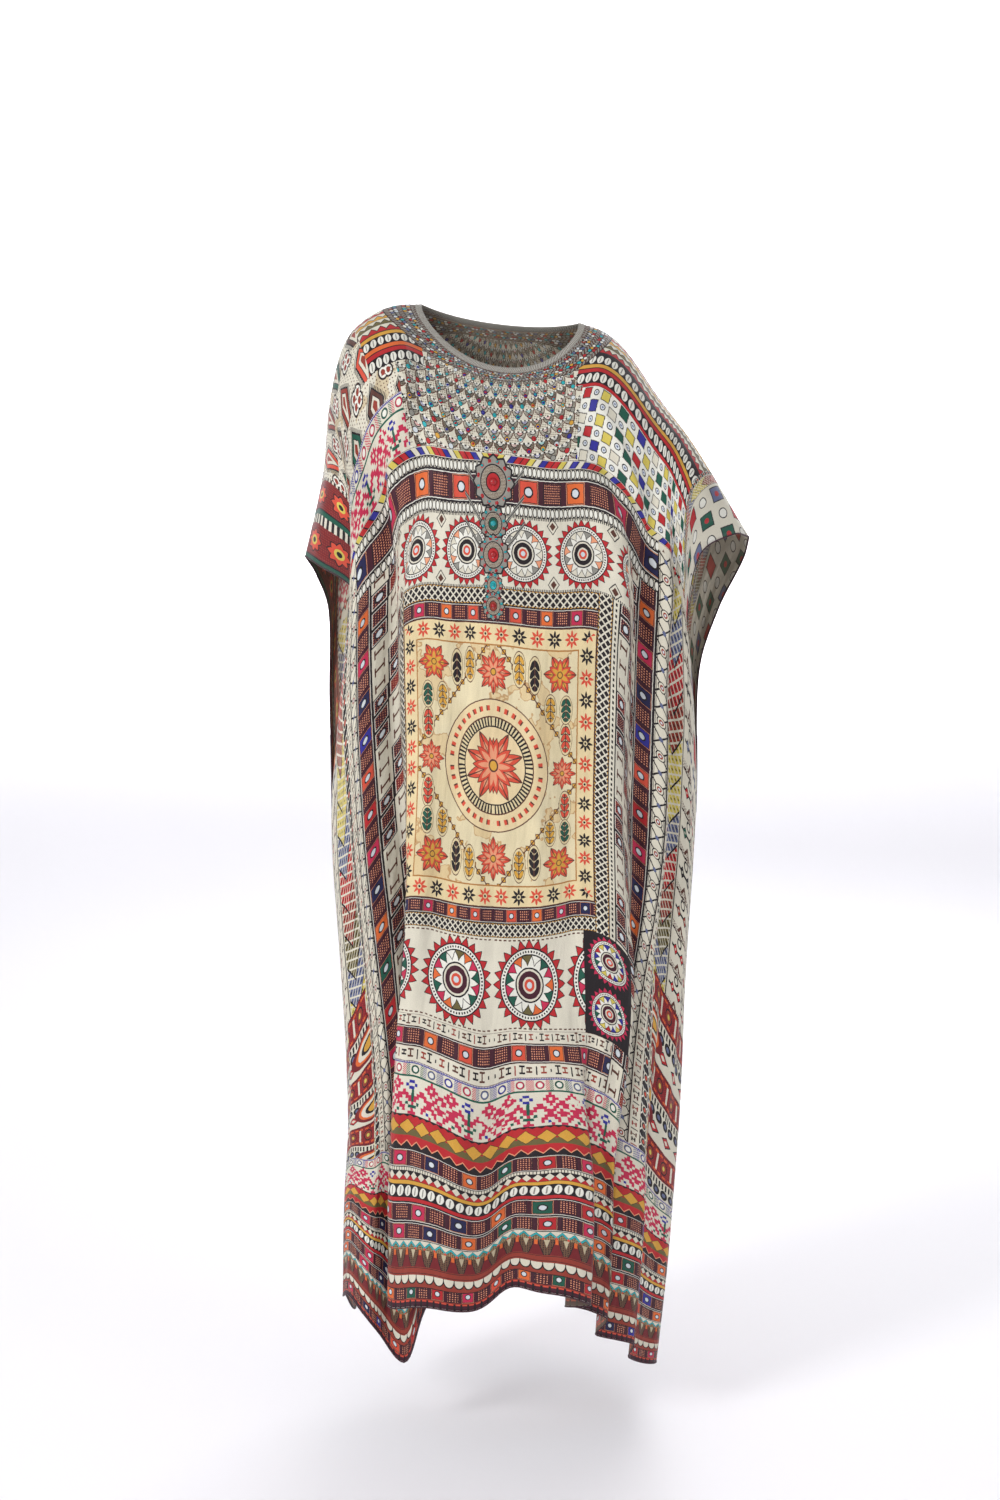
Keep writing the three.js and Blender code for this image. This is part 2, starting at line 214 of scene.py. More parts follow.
def follow(rows, key, at, column):
    """One column of a table at the given keys, through its rows on a smooth curve."""
    order = np.argsort(rows[key])
    keys, values = rows[key][order], rows[column][order]
    last = len(keys) - 1
    before = np.maximum(np.arange(last + 1) - 1, 0)
    after = np.minimum(np.arange(last + 1) + 1, last)
    slopes = (values[after] - values[before]) / (keys[after] - keys[before])
    i = np.clip(np.searchsorted(keys, at, side="right") - 1, 0, last - 1)
    span = keys[i + 1] - keys[i]
    k = np.clip((at - keys[i]) / span, 0, 1)
    k2, k3 = k * k, k * k * k
    return (
        values[i] * (2 * k3 - 3 * k2 + 1)
        + values[i + 1] * (3 * k2 - 2 * k3)
        + slopes[i] * span * (k3 - 2 * k2 + k)
        + slopes[i + 1] * span * (k3 - k2)
    )


def nearness(place, width, s):
    return np.exp(-(((s - place) / width) ** 2))


def place_round(side, s, z):
    """Where a column lies round the worn outline, once the pleats have taken up their cloth."""

    def taken(at):
        total = np.zeros_like(z)
        for place, width, take, _, starts, full in PLEATS[side]:
            total += take * smooth(starts, full, z) * smooth(place - width, place + width, at)
        return total

    end = np.where(s < 0, -1.0, 1.0)
    middle = taken(np.zeros_like(s))
    return end * (s - taken(s) + middle) / (end - taken(end) + middle)


def body_point(side, s, z):
    """A point of the worn outline at a height, with its pleats, drapes and waves."""
    angle = place_round(side, s, z) * (math.pi / 2)
    across = np.sin(angle)
    along = np.maximum(0, np.cos(angle)) ** SIDE_POWER
    side_x = np.where(s < 0, -follow(LEVELS, "z", z, "left"), follow(LEVELS, "z", z, "right"))
    facing = -1 if side == "front" else 1
    out = np.zeros_like(s)
    lift = np.zeros_like(s)
    for place, width, _, step, starts, full in PLEATS[side]:
        outward = math.copysign(1, place) * (s - place)
        drop = 0.5 - smooth(-width * PLEAT_ROUNDING, width * PLEAT_ROUNDING, outward)
        near = nearness(0, width * PLEAT_SPREAD, outward)
        out += step * drop * near * smooth(starts, full, z)
    for place, width, height, starts, full, fades, gone in DRAPES[side]:
        out += height * nearness(place, width, s) * smooth(starts, full, z) * (1 - smooth(fades, gone, z))
    for place, width, height, rise, starts, full in WAVES[side]:
        grown = nearness(place, width, s) * smooth(starts, full, z)
        out += height * grown
        lift += rise * grown
    edge = 1 - smooth(SEAM_CALM, 1, np.abs(s))
    lift *= edge
    inward = np.zeros_like(s)
    for hand, tuck in TUCKS.items():
        on_hand = (s < 0) if hand == "left" else (s >= 0)
        tucked = on_hand * smooth(1 - tuck["reach"], 1, np.abs(s)) * smooth(tuck["starts"], tuck["full"], z)
        inward += tuck["inward"] * tucked
        lift += tuck["lift"] * tucked
    x = across * side_x + out * edge * across + inward
    y = follow(LEVELS, "z", z, side) * along + out * edge * facing * np.maximum(LEAST_FORWARD, along)
    return x, y, lift


def bend_reach(reach, roll, peak, cloth):
    """How far forward and down a length of cloth reaches along its bend over the shoulder."""
    rise = mix(ROUND_BEND, SLOPED_BEND["rise"], peak)
    run = mix(ROUND_BEND, SLOPED_BEND["run"], peak)
    length = np.zeros_like(cloth)
    out, down = np.ones_like(cloth), np.zeros_like(cloth)
    open_ = np.ones(cloth.shape, bool)
    out_was, down_was = np.zeros_like(cloth), 0.0
    for k in range(1, BEND_STEPS + 1):
        down_now = (k / BEND_STEPS) ** 2
        out_now = (1 - (1 - down_now) ** rise) ** (1 / run)
        step = np.hypot(reach * (out_now - out_was), roll * (down_now - down_was))
        here = open_ & (length + step >= cloth)
        part = (cloth - length) / np.maximum(step, 1e-9)
        out = np.where(here, mix(out_was, out_now, part), out)
        down = np.where(here, roll * mix(down_was, down_now, part), down)
        open_ &= ~here
        length += step
        out_was, down_was = out_now, down_now
    return out, np.where(open_, roll + cloth - length, down)


def hang(side, s, cloth):
    """A column of cloth bends over the shoulder, and then hangs."""
    x, y, z, roll = (follow(SHOULDERS, "share", s, c) for c in ("x", "y", "z", "roll"))
    near_neck = np.exp(-((s / NECK_FADE) ** 4))
    roll = roll + NECKS[side]["roll"] * near_neck
    peak = NECKS[side]["peak"] * near_neck
    reach = np.abs(body_point(side, s, z - roll)[1] - y)
    out, down = bend_reach(reach, roll, peak, cloth)
    at_x, at_y, lift = body_point(side, s, z - down)
    settled = smooth(0, SIDEWAYS_SETTLE, cloth)
    return np.stack([mix(x, at_x, settled), mix(y, at_y, out), z - down + lift], -1)


def worn(side, s, cloth):
    """The worn surface of a panel, in mm: s from -1 to 1 across, and the depth of cloth below the shoulder."""
    point = hang(side, s, cloth)
    share = cloth / CUFF_OPENING
    stay = smooth(*CUFF_REACH, np.abs(s)) * (1 - smooth(*CUFF_FADE, share))
    free = hang(side, np.where(s < 0, -1.0, 1.0), cloth)
    for i, column in enumerate("xyz"):
        left = follow(CUFFS[side, "left"], "share", share, column)
        right = follow(CUFFS[side, "right"], "share", share, column)
        point[..., i] += (np.where(s < 0, left, right) - free[..., i]) * stay
    return point


def neck_depth(side, s):
    return NECKS[side]["depth"] * np.sqrt(np.maximum(0, 1 - (s / NECK_SHARE) ** 2))


# How the print lies off level where the cloth hangs unevenly, in mm: at a place across and a depth down, the
# print's lines are drawn down by amount, less and less over width and reach
PULLS = {
    "front": (
        # place, width, level, reach, amount
        (0, 62, 1150, 170, 40),
        (-190, 120, 380, 150, 12),
        (190, 120, 380, 150, -12),
        (150, 110, 840, 120, -22),
        (190, 90, 1120, 160, 14),
        (330, 160, 190, 120, -16),
    ),
    "back": (
        (-20, 120, 300, 200, 14),
        (240, 120, 420, 180, -12),
        (-150, 90, 1140, 150, 16),
    ),
}

# Soft creases between the main folds, in mm of the cut: from a point (across, down) to a point, and their
# width and height out of the cloth
CREASES = {
    "front": (
        (150, 150, 300, 300, 20, 5),
        (135, 190, 262, 380, 16, -5),
        (122, 236, 215, 470, 15, 4),
        (-140, 130, -250, 330, 18, 5),
        (-128, 180, -205, 430, 15, -5),
        (-60, 470, -96, 800, 16, -4),
        (46, 500, 62, 880, 17, 4),
        (-20, 640, -14, 1000, 14, -3),
        (96, 560, 118, 960, 12, -4),
        (-130, 700, -150, 1240, 12, 5),
        (-178, 820, -190, 1330, 11, -5),
        (170, 980, 176, 1330, 9, 5),
        (196, 1000, 204, 1320, 9, -5),
        (228, 860, 236, 1300, 10, 5),
        (262, 620, 268, 1180, 12, -5),
        (300, 480, 316, 1050, 12, 5),
        (352, 420, 372, 1000, 13, -5),
        (402, 460, 410, 960, 14, 5),
        (-252, 420, -262, 980, 12, -5),
        (-300, 480, -318, 1060, 13, 5),
        (-356, 560, -372, 1040, 13, -5),
        (-408, 500, -420, 980, 14, 5),
        (-60, 1040, -66, 1340, 14, 4),
        (52, 1080, 60, 1340, 12, -4),
    ),
    "back": (
        (-90, 90, -170, 380, 20, 7),
        (100, 100, 190, 400, 20, 7),
        (-60, 420, -70, 900, 18, -7),
        (40, 380, 60, 980, 17, 7),
        (-120, 620, -128, 1300, 14, 7),
        (-250, 520, -262, 1180, 13, -7),
        (-350, 420, -372, 1060, 14, 7),
        (-430, 480, -440, 980, 14, -7),
        (90, 760, 96, 1330, 13, -7),
        (210, 620, 224, 1240, 13, 7),
        (300, 440, 322, 1100, 14, -7),
        (392, 460, 410, 1000, 14, 7),
        (0, 900, 6, 1340, 14, 6),
        (-190, 880, -196, 1300, 12, -6),
        (-16, 230, -30, 620, 15, -6),
        (150, 470, 162, 1170, 13, -6),
        (-304, 740, -312, 1290, 12, 6),
        (258, 800, 268, 1300, 12, -6),
        (350, 520, 366, 1220, 12, 6),
        (-392, 690, -402, 1150, 12, -6),
    ),
}

CELL = 6.2  # the longest side of a panel's cells
SHELL = 1.0  # thickness of the cloth
CREASE_SCALE = 1.4  # of every crease's height
NECK_ROWS_END = 150  # print depth at which the rows no longer bend round the neck
CREASE_BOW = 0.35  # how far a crease bows sideways, in its own widths
CREASE_END = 0.65  # its height at both ends, to its full height
CREASE_FADE = 3  # how far it fades out beyond its ends, in its own widths
SHOULDER_CALM = 60  # depth below the shoulder line at which the creases have their full height
SPARE_STEP = 0.2  # of a cell, by which cells may be longer than CELL before one more is put in


def hem_rise(s, depth):
    return SIDE_RISE * s**2 * (depth / LENGTH) ** 3


def print_pull(side, x, depth):
    total = np.zeros_like(depth)
    for place, width, level, reach, amount in PULLS[side]:
        total += amount * np.exp(-(((x - place) / width) ** 2) - ((depth - level) / reach) ** 2)
    return total * smooth(NECK_ROWS_END, NECK_ROWS_END * 2, depth)


def cloth_depth(side, s, depth):
    """The cloth below the shoulder line at a depth of the print, whose lines follow the neck and the hem."""
    neck = neck_depth(side, s)
    bent = neck + depth * (NECK_ROWS_END - neck) / NECK_ROWS_END
    straight = depth + print_pull(side, s * HALF_WIDTH, depth)
    return np.where(depth < NECK_ROWS_END, bent, straight) - hem_rise(s, depth)


def crease_height(side, x, depth):
    total = np.zeros_like(depth)
    for x0, d0, x1, d1, width, height in CREASES[side]:
        along = np.clip((depth - d0) / (d1 - d0), 0, 1)
        swell = np.sin(math.pi * along)
        off = x - mix(x0, x1, along) - CREASE_BOW * width * swell
        beyond = np.maximum(np.maximum(d0 - depth, depth - d1), 0)
        fade = np.exp(-((beyond / (CREASE_FADE * width)) ** 2)) * mix(CREASE_END, 1, swell)
        total += CREASE_SCALE * height * fade * np.exp(-((off / width) ** 2))
    return total


def normals_of(points, side):
    across = np.gradient(points, axis=1)
    down = np.gradient(points, axis=0)
    normal = unit(np.cross(down, across))
    return normal if side == "front" else -normal


def unit(vectors):
    return vectors / (np.linalg.norm(vectors, axis=-1, keepdims=True) + 1e-9)


def spaced(edges, step):
    """Places from the first edge to the last that keep every edge and are about a step apart."""
    edges = np.unique(np.round(edges, 3))
    places = [edges[:1]]
    for low, high in zip(edges[:-1], edges[1:]):
        count = max(1, math.ceil((high - low) / step - SPARE_STEP))
        places.append(np.linspace(low, high, count + 1)[1:])
    return np.concatenate(places)


class Panel:
    """One worn panel of the kaftan as a grid of points in metres, with its place in the cut."""

    def __init__(self, side, regions):
        self.side = side
        lines_x = [-HALF_WIDTH, -NECK_HALF_WIDTH, NECK_HALF_WIDTH, HALF_WIDTH]
        lines_d = [0, LENGTH]
        for region in regions:
            lines_x += [region.left, region.right]
            lines_d += [region.top, region.bottom]
        self.x = spaced(lines_x, CELL)
        self.depth = spaced(lines_d, CELL)
        x, depth = np.meshgrid(self.x, self.depth)
        s = x / HALF_WIDTH
        cloth = cloth_depth(side, s, depth)
        points = worn(side, s, cloth)
        calm = smooth(1, SEAM_CALM, np.abs(s)) * smooth(0, SHOULDER_CALM, depth)
        points += normals_of(points, side) * (crease_height(side, x, depth) * calm)[..., None]
        self.points = points * MM
        self.normals = normals_of(points, side)
        self.cut_depth = cloth + hem_rise(s, depth)
        self.print_depth = np.where(depth < NECK_ROWS_END, self.cut_depth, depth)


# The print's layout on the cut, in mm. Each region covers what lies under it. A run of "across" repeats the
# print from left to right and "down" from the top to the hem, both in band heights. A "field" is in metres.
Region = namedtuple("Region", "left right top bottom print run")
PRINT_MIDDLE = -12
PENDANT_REACH = 62
PENDANT_MARK = "_with_pendant"


def halves(*rows):
    """Regions that lie on both halves, as far from the print's middle, or out to the side seams."""
    regions = []
    for near, far, top, bottom, name, run in rows:
        right = PRINT_MIDDLE + far if far else HALF_WIDTH
        left = PRINT_MIDDLE - far if far else -HALF_WIDTH
        regions.append(Region(PRINT_MIDDLE + near, right, top, bottom, name, run))
        regions.append(Region(left, PRINT_MIDDLE - near, top, bottom, name, run + " mirrored"))
    return regions


def stacked(left, right, top, bands):
    """Bands across the print, one under another, each as its height and its print."""
    regions = []
    for height, name in bands:
        regions.append(Region(left, right, top, top + height, name, "across"))
        top += height
    return regions


SIDE_COLUMNS = halves(
    # near, far, top, bottom, print, run
    (392, None, 0, 1112, "outer_field", "field"),
    (330, 392, 262, 1112, "kilim", "down"),
    (314, 330, 262, 1112, "stitch_marks", "down"),
    (292, 314, 262, 1112, "net_band", "down"),
    (266, 292, 262, 1112, "mirror_band", "down"),
    (196, 266, 262, 1112, "stepped_squares", "down"),
    (352, None, 770, 1112, "arc_field", "field"),
)
PANEL_TOP = halves(
    (0, 165, 412, 434, "lattice", "across"),
    (0, 165, 434, 458, "mirror_band", "across"),
)
CENTRE = [
    *halves(
        (0, 165, 458, 834, "panel", "field"),
        (165, 186, 412, 872, "lattice", "down"),
        (186, 196, 412, 990, "stitch_line", "down"),
    ),
    *PANEL_TOP,
    *halves(
        (0, 165, 834, 854, "mirror_band", "across"),
        (0, 165, 854, 872, "lattice", "across"),
        (0, 196, 872, 990, "colour_roundels", "across"),
        (0, 196, 990, 1006, "stitch_marks", "across"),
        (0, 196, 1006, 1032, "mirror_band", "across"),
        (0, 196, 1032, 1052, "stitch_marks", "across"),
        (146, 226, 872, 990, "dark_roundels", "down"),
    ),
]
CHEST = halves(
    (0, 214, 318, 412, "roundels", "across"),
    (0, 330, 240, 252, "kilim_edge", "across"),
    (0, 292, 252, 266, "seed_fringe", "across"),
    (0, 292, 266, 304, "mirror_band", "across"),
    (0, 292, 304, 318, "seed_fringe", "across"),
)
LEFT_SHOULDER = [
    Region(-202, -112, 0, 14, "outer_field", "field"),
    *stacked(-202, -112, 14, [
        (14, "red_teeth"), (16, "ochre_teeth"), (14, "olive_teeth"), (16, "red_teeth"),
        (8, "ochre_stripe"), (16, "seed_row"), (8, "orange_stripe"), (8, "red_stripe"), (16, "seed_row"),
    ]),
    Region(-400, -202, 0, 130, "sleeve_shapes", "field"),
    Region(-400, -112, 130, 172, "sleeve_shapes", "field"),
    Region(-510, -400, 0, 400, "sleeve_bands", "field"),
    *stacked(-400, -160, 172, [(22, "ring_band"), (46, "cross_stitch")]),
]
RIGHT_SHOULDER = [
    *stacked(112, 400, 0, [
        (14, "olive_teeth"), (14, "red_teeth"), (14, "ochre_teeth"), (14, "olive_teeth"), (14, "red_teeth"),
        (6, "dark_stripe"), (18, "seed_row"), (8, "ochre_stripe"), (8, "red_stripe"), (18, "seed_row"),
        (6, "red_stripe"),
    ]),
    Region(112, 400, 134, 240, "diamond_field", "field"),
    Region(400, 424, 0, 240, "kilim", "down"),
    Region(424, 510, 0, 400, "sleeve_squares", "field"),
]
YOKE = [Region(-160, 124, 130, 240, "yoke", "field"), Region(-112, 112, 0, 150, "yoke", "field")]
HEM_BANDS = stacked(-HALF_WIDTH, HALF_WIDTH, 1052, [
    (20, "ring_band"), (48, "cross_stitch"), (30, "zigzag_diamonds"), (14, "dark_teeth"),
    (24, "mirror_band"), (4, "pale_cord"), (12, "diamond_beads"), (6, "ochre_stripe"), (16, "seed_row"),
    (6, "red_stripe"), (26, "mirror_band"), (24, "mirror_band"), (12, "turquoise_zigzag"),
    (24, "tassels"), (8, "brick_stripe"), (14, "petal_row"), (22, "brick_squares"), (10, "hem_edge"),
])


def under_pendant(regions):
    """The same regions again where the pendant hangs over them."""
    low, high = PRINT_MIDDLE - PENDANT_REACH, PRINT_MIDDLE + PENDANT_REACH
    return [
        region._replace(
            left=max(region.left, low), right=min(region.right, high), print=region.print + PENDANT_MARK
        )
        for region in regions
    ]


BELOW = [*SIDE_COLUMNS, *CENTRE, *CHEST]
ABOVE = [*LEFT_SHOULDER, *RIGHT_SHOULDER, *YOKE, *HEM_BANDS]
REGIONS = {
    "front": [*BELOW, *under_pendant([*CHEST, *PANEL_TOP]), *ABOVE],
    "back": [*BELOW, *ABOVE],
}


def dye(red, green, blue):
    """A colour from its everyday 0 to 255 values."""
    shares = [value / 255 for value in (red, green, blue)]
    return (*(s / 12.92 if s <= 0.04045 else ((s + 0.055) / 1.055) ** 2.4 for s in shares), 1)


CREAM = dye(213, 207, 189)
PALE = dye(225, 223, 212)
GOLD_CREAM = dye(214, 197, 154)
PANEL_BORDER = dye(222, 202, 156)
PANEL_LINE = dye(168, 116, 60)
CORAL = dye(206, 74, 52)
BLUSH = dye(222, 148, 112)
RED = dye(178, 30, 36)
ROSE = dye(188, 36, 74)
DARK_RED = dye(112, 22, 28)
BRICK = dye(142, 52, 38)
ORANGE = dye(214, 100, 44)
OCHRE = dye(206, 154, 58)
YELLOW = dye(204, 186, 84)
OLIVE = dye(100, 90, 50)
GREEN = dye(16, 82, 64)
TURQUOISE = dye(36, 166, 172)
SLATE = dye(92, 100, 134)
BLUE = dye(42, 40, 140)
NAVY = dye(26, 26, 70)
MAROON = dye(62, 14, 32)
BROWN = dye(84, 46, 34)
INK = dye(24, 15, 20)
SILVER = dye(138, 136, 128)
PALE_SILVER = dye(176, 170, 152)
MIRROR = dye(204, 210, 214)
REVERSE = dye(186, 170, 146)


class Ink:
    """A value in a material's node tree, so that a pattern reads as a sum."""

    def __init__(self, tree, socket):
        self.tree = tree
        self.socket = socket

    def math(self, operation, *others):
        node = self.tree.nodes.new("ShaderNodeMath")
        node.operation = operation
        for slot, value in zip(node.inputs, (self, *others)):
            feed(self.tree, value, slot)
        return Ink(self.tree, node.outputs[0])

    __add__ = partialmethod(math, "ADD")
    __sub__ = partialmethod(math, "SUBTRACT")
    __mul__ = partialmethod(math, "MULTIPLY")
    __lt__ = partialmethod(math, "LESS_THAN")
    __gt__ = partialmethod(math, "GREATER_THAN")
    __abs__ = partialmethod(math, "ABSOLUTE")
    floor = partialmethod(math, "FLOOR")
    fract = partialmethod(math, "FRACT")
    root = partialmethod(math, "SQRT")
    power = partialmethod(math, "POWER")
    larger = partialmethod(math, "MAXIMUM")
    smaller = partialmethod(math, "MINIMUM")
    near = partialmethod(math, "COMPARE")

    def __rsub__(self, other):
        return self * -1 + other

    def turn(self, x):
        """The direction of (x, this) as 0 to 1 of a full turn."""
        return self.math("ARCTAN2", x) * (1 / math.tau) + 0.5

    def between(self, low, high):
        return (self > low) * (self < high)

    def zigzag(self):
        """From 1 down to 0 and back as the value goes from one whole number to the next."""
        return abs(self.fract() - 0.5) * 2


def feed(tree, value, slot):
    if isinstance(value, Ink):
        tree.links.new(value.socket, slot)
    else:
        slot.default_value = value


class Drawing:
    """A material's node tree, with the marks that its colours are made of."""

    def __init__(self, tree):
        self.tree = tree

    def node(self, kind, inputs, output=0, **settings):
        """One output of a new node, with its inputs fed by name or number."""
        node = self.tree.nodes.new("ShaderNode" + kind)
        for name, value in settings.items():
            setattr(node, name, value)
        for name, value in inputs.items():
            feed(self.tree, value, node.inputs[name])
        return Ink(self.tree, node.outputs[output])

    def map(self, name):
        """Both places on one of the mesh's UV maps."""
        return self.split(self.node("UVMap", {}, uv_map=name))

    def split(self, vector):
        first = self.node("SeparateXYZ", {0: vector})
        return first, Ink(self.tree, first.socket.node.outputs[1])

    def noise(self, place, scale, detail=2, seed=0.0):
        inputs = {"Vector": place, "Scale": scale, "Detail": detail}
        if seed:
            return self.node("TexNoise", inputs | {"W": seed}, "Fac", noise_dimensions="4D")
        return self.node("TexNoise", inputs, "Fac")

    def paint(self, share, under, over):
        return self.node("Mix", {0: share, 6: under, 7: over}, 2, data_type="RGBA")

    def shaded(self, picture, share):
        return self.node("Mix", {0: 1, 6: picture, 7: share}, 2, data_type="RGBA", blend_type="MULTIPLY")

    def layers(self, ground, *layers):
        """Shares of paint laid over a ground, one after another."""
        for share, colour in layers:
            ground = self.paint(share, ground, colour)
        return ground

    def ramp(self, key, stops, interpolation="CONSTANT"):
        node = self.tree.nodes.new("ShaderNodeValToRGB")
        node.color_ramp.interpolation = interpolation
        elements = node.color_ramp.elements
        while len(elements) < len(stops):
            elements.new(0.999)
        for i, (place, colour) in enumerate(stops):
            elements[i].position = place
            elements[i].color = colour
        feed(self.tree, key, node.inputs["Fac"])
        return Ink(self.tree, node.outputs["Color"])

    def pick(self, key, colours):
        """One of several colours by a key from 0 to 1."""
        return self.ramp(key, [(i / len(colours), colour) for i, colour in enumerate(colours)])


DOT_UNEVENNESS = 0.12


class Print(Drawing):
    """The drawing of one printed cloth, with the places that its pattern is drawn by."""

    def __init__(self, tree, wander):
        super().__init__(tree)
        self.cut = self.node("UVMap", {}, uv_map="cut")
        self.x, self.depth = self.split(self.cut)
        u, v = self.map("band")
        self.u = u + (self.noise(self.cut, 210, 1) - 0.5) * wander
        self.v = v + (self.noise(self.cut, 170, 1, 7.3) - 0.5) * wander
        self.off = self.v - 0.5
        self.around, self.from_neck = self.map("neck")

    def dots(self, scale, radius):
        """Fine dots, scale of them to a metre, and radius of their spacing in size."""
        inputs = {"Vector": self.cut, "Scale": scale, "Randomness": DOT_UNEVENNESS}
        return self.node("TexVoronoi", inputs, "Distance") < radius

    def specks(self, scale, share):
        return self.noise(self.cut, scale, 1, 3.1) > 1 - share


def repeat(value, count=1):
    """Where a value lies in its repeat, from -0.5 to 0.5, with count repeats to one."""
    return (value * count).fract() - 0.5


def dashes(value, count, gap=0.5):
    """The part of each repeat beyond its gap."""
    return (value * count).fract() > gap


def is_odd(number):
    return (number * 0.5).fract() > 0.25


def hashed(cell, by=0.618):
    return (cell * by + 0.07).fract()


def length(x, y):
    return (x * x + y * y).root()


def square(x, y):
    return abs(x).larger(abs(y))


# The prints of long bands. u runs along a band in band heights, v from 0 to 1 across it, and off is 0 down its
# middle, so the sizes are shares of the band's height.
def mirror_band(p, squares=1):
    cell = (p.u * squares).floor()
    bright = is_odd(cell)
    speckled = p.paint(p.dots(310, 0.27), MAROON, BLUSH)
    tile = p.pick(hashed(cell, 0.305), [RED, NAVY, CORAL, GREEN, ROSE, BLUE, ORANGE])
    x = repeat(p.u, squares)
    radius = length(x, p.off)
    edge = square(x, p.off)
    return p.layers(
        MAROON,
        (edge < 0.36, p.paint(bright, speckled, tile)),
        (bright * (radius < 0.2), INK),
        (bright * (radius < 0.14), MIRROR),
        (edge.between(0.35, 0.38), INK),
        (edge.between(0.38, 0.4) * bright, BLUSH),
        (abs(p.off) > 0.45, INK),
        (abs(p.off).between(0.42, 0.45), PALE),
    )


def brick_squares(p):
    return p.layers(
        mirror_band(p, 1.2), (p.v < 0.24, BRICK), (p.v.between(0.2, 0.26), INK), (p.v > 0.92, BRICK)
    )


def seed_fringe(p):
    seed = length(repeat(p.u, 2) * 2.5, p.off * 2.4)
    return p.layers(
        CREAM,
        (dashes(p.u, 8) * (abs(p.off) > 0.3), INK),
        (seed < 1.2, INK),
        (seed < 0.86, PALE),
        (abs(p.off) > 0.45, INK),
    )


def seed_row(p):
    lean = repeat(p.u, 1.35) + p.off * 0.16
    seed = length(lean * 2.5, p.off * 2.3)
    return p.layers(INK, (seed < 1, PALE), ((seed < 0.75) * (abs(lean) < 0.07), SILVER))


def petal_row(p):
    petal = length(repeat(p.u, 1.15) * 2.15, (p.v - 0.25) * 1.5)
    return p.layers(BRICK, (petal < 1.2, INK), (petal < 0.98, CREAM), (p.v < 0.14, BRICK))


def teeth(p, ground):
    edge = (p.u * 1.1).zigzag() * 0.52 + 0.2
    return p.layers(ground, (p.v < edge, CREAM), (abs(p.v - edge) < 0.07, INK), (p.v > 0.93, INK))


def stripe(p, colour):
    return p.layers(colour, (abs(p.off) > 0.4, INK))


def lattice(p):
    net = (abs(repeat(p.u + p.v, 2)) < 0.13).larger(abs(repeat(p.u - p.v, 2)) < 0.13)
    rope = p.paint(dashes(p.u, 4), OCHRE, BROWN)
    return p.layers(INK, (net, CREAM), (abs(p.off) > 0.42, rope), (abs(p.off) > 0.47, INK))


ROUNDEL_TEETH = 15


def roundel(p, x, y, middle, ring_colours, rays=RED, ground=CREAM):
    """A ray-edged roundel, one cell across."""
    radius = length(x, y)
    turn = y.turn(x)
    ring = p.pick(hashed((turn * ROUNDEL_TEETH).floor()), ring_colours)
    edge = (turn * 24).zigzag() * 0.085 + 0.39
    inner = (turn * ROUNDEL_TEETH).zigzag() * 0.1 + 0.2
    return p.layers(
        ground,
        (radius < edge + 0.016, INK),
        (radius < edge, rays),
        (radius < 0.395, INK),
        (radius < 0.38, PALE),
        (radius.between(0.342, 0.366) * dashes(turn, 60), INK),
        (radius < 0.328, INK),
        (radius < 0.314, ring),
        (radius < inner + 0.018, INK),
        (radius < inner, PALE),
        (radius < 0.19, INK),
        (radius < 0.172, CREAM),
        (radius < 0.15, middle),
        (radius.between(0.068, 0.09), CREAM),
        (radius < 0.068, CORAL),
        (radius < 0.035, MIRROR),
    )


def roundels(p):
    x = repeat(p.u)
    corner = abs(abs(x) - 0.5) * 1.2 + abs(abs(p.off) - 0.4)
    return p.layers(
        roundel(p, x, p.off, INK, [BLUSH, CREAM, SILVER, CREAM]),
        (corner.between(0.1, 0.12), INK),
        (corner < 0.06, BROWN),
        ((abs(p.off) > 0.47) * dashes(p.u, 34), INK),
    )


def colour_roundels(p):
    picture = roundel(p, repeat(p.u, 1.02), p.off, MAROON, [GREEN, ORANGE, PALE, ROSE, OLIVE])
    return p.layers(picture, (abs(p.off).between(0.465, 0.48) * dashes(p.u, 16, 0.4), BROWN))


def dark_roundels(p):
    ground = p.paint(p.specks(400, 0.2), INK, PALE)
    colours = [BLUE, RED, GREEN, YELLOW, BLUE]
    return roundel(p, repeat(p.u, 1.35), p.off * 1.08, MAROON, colours, rays=ROSE, ground=ground)


def ring_band(p):
    x, cell = repeat(p.u, 0.8), (p.u * 0.8).floor()
    radius = length(x * 1.2, p.off)
    colour = p.pick(hashed(cell), [ROSE, GREEN, BLUE, ROSE, SLATE])
    checks = dashes(p.u, 7).near(dashes(p.v, 7), 0.1)
    return p.layers(
        CREAM,
        ((abs(x) > 0.3) * checks, colour),
        (radius < 0.28, INK),
        (radius < 0.25, colour),
        (radius < 0.17, PALE),
        (p.off < -0.36, BLUE),
        ((p.off < -0.42) * dashes(p.u, 9), CREAM),
        (p.off > 0.38, GREEN),
    )


# A cross-stitched spray, one letter a stitch: r rose, b blue, g green
STITCHED_SPRAY = (
    "...r......r.........",
    "..rrr....rrr...bb...",
    ".rr.rr..rr.rr.b..b..",
    "..rrr.rr.rrr...bb...",
    "r..r.rrrr.r..r..g..r",
    "rr..rr.rr..rrrr.g.rr",
    ".rrrr.r..rrrr.rrgrr.",
    "..rr.rrrr.rr...rgr..",
    ".rrrr.rr.rrrr.g.r.g.",
    "rr..rr..rr..rr.ggg..",
    "r.b..r..r..g.r..r...",
    "...r..rr..r....rrr..",
)
STITCH_COLOURS = {".": CREAM, "r": ROSE, "b": BLUE, "g": GREEN}


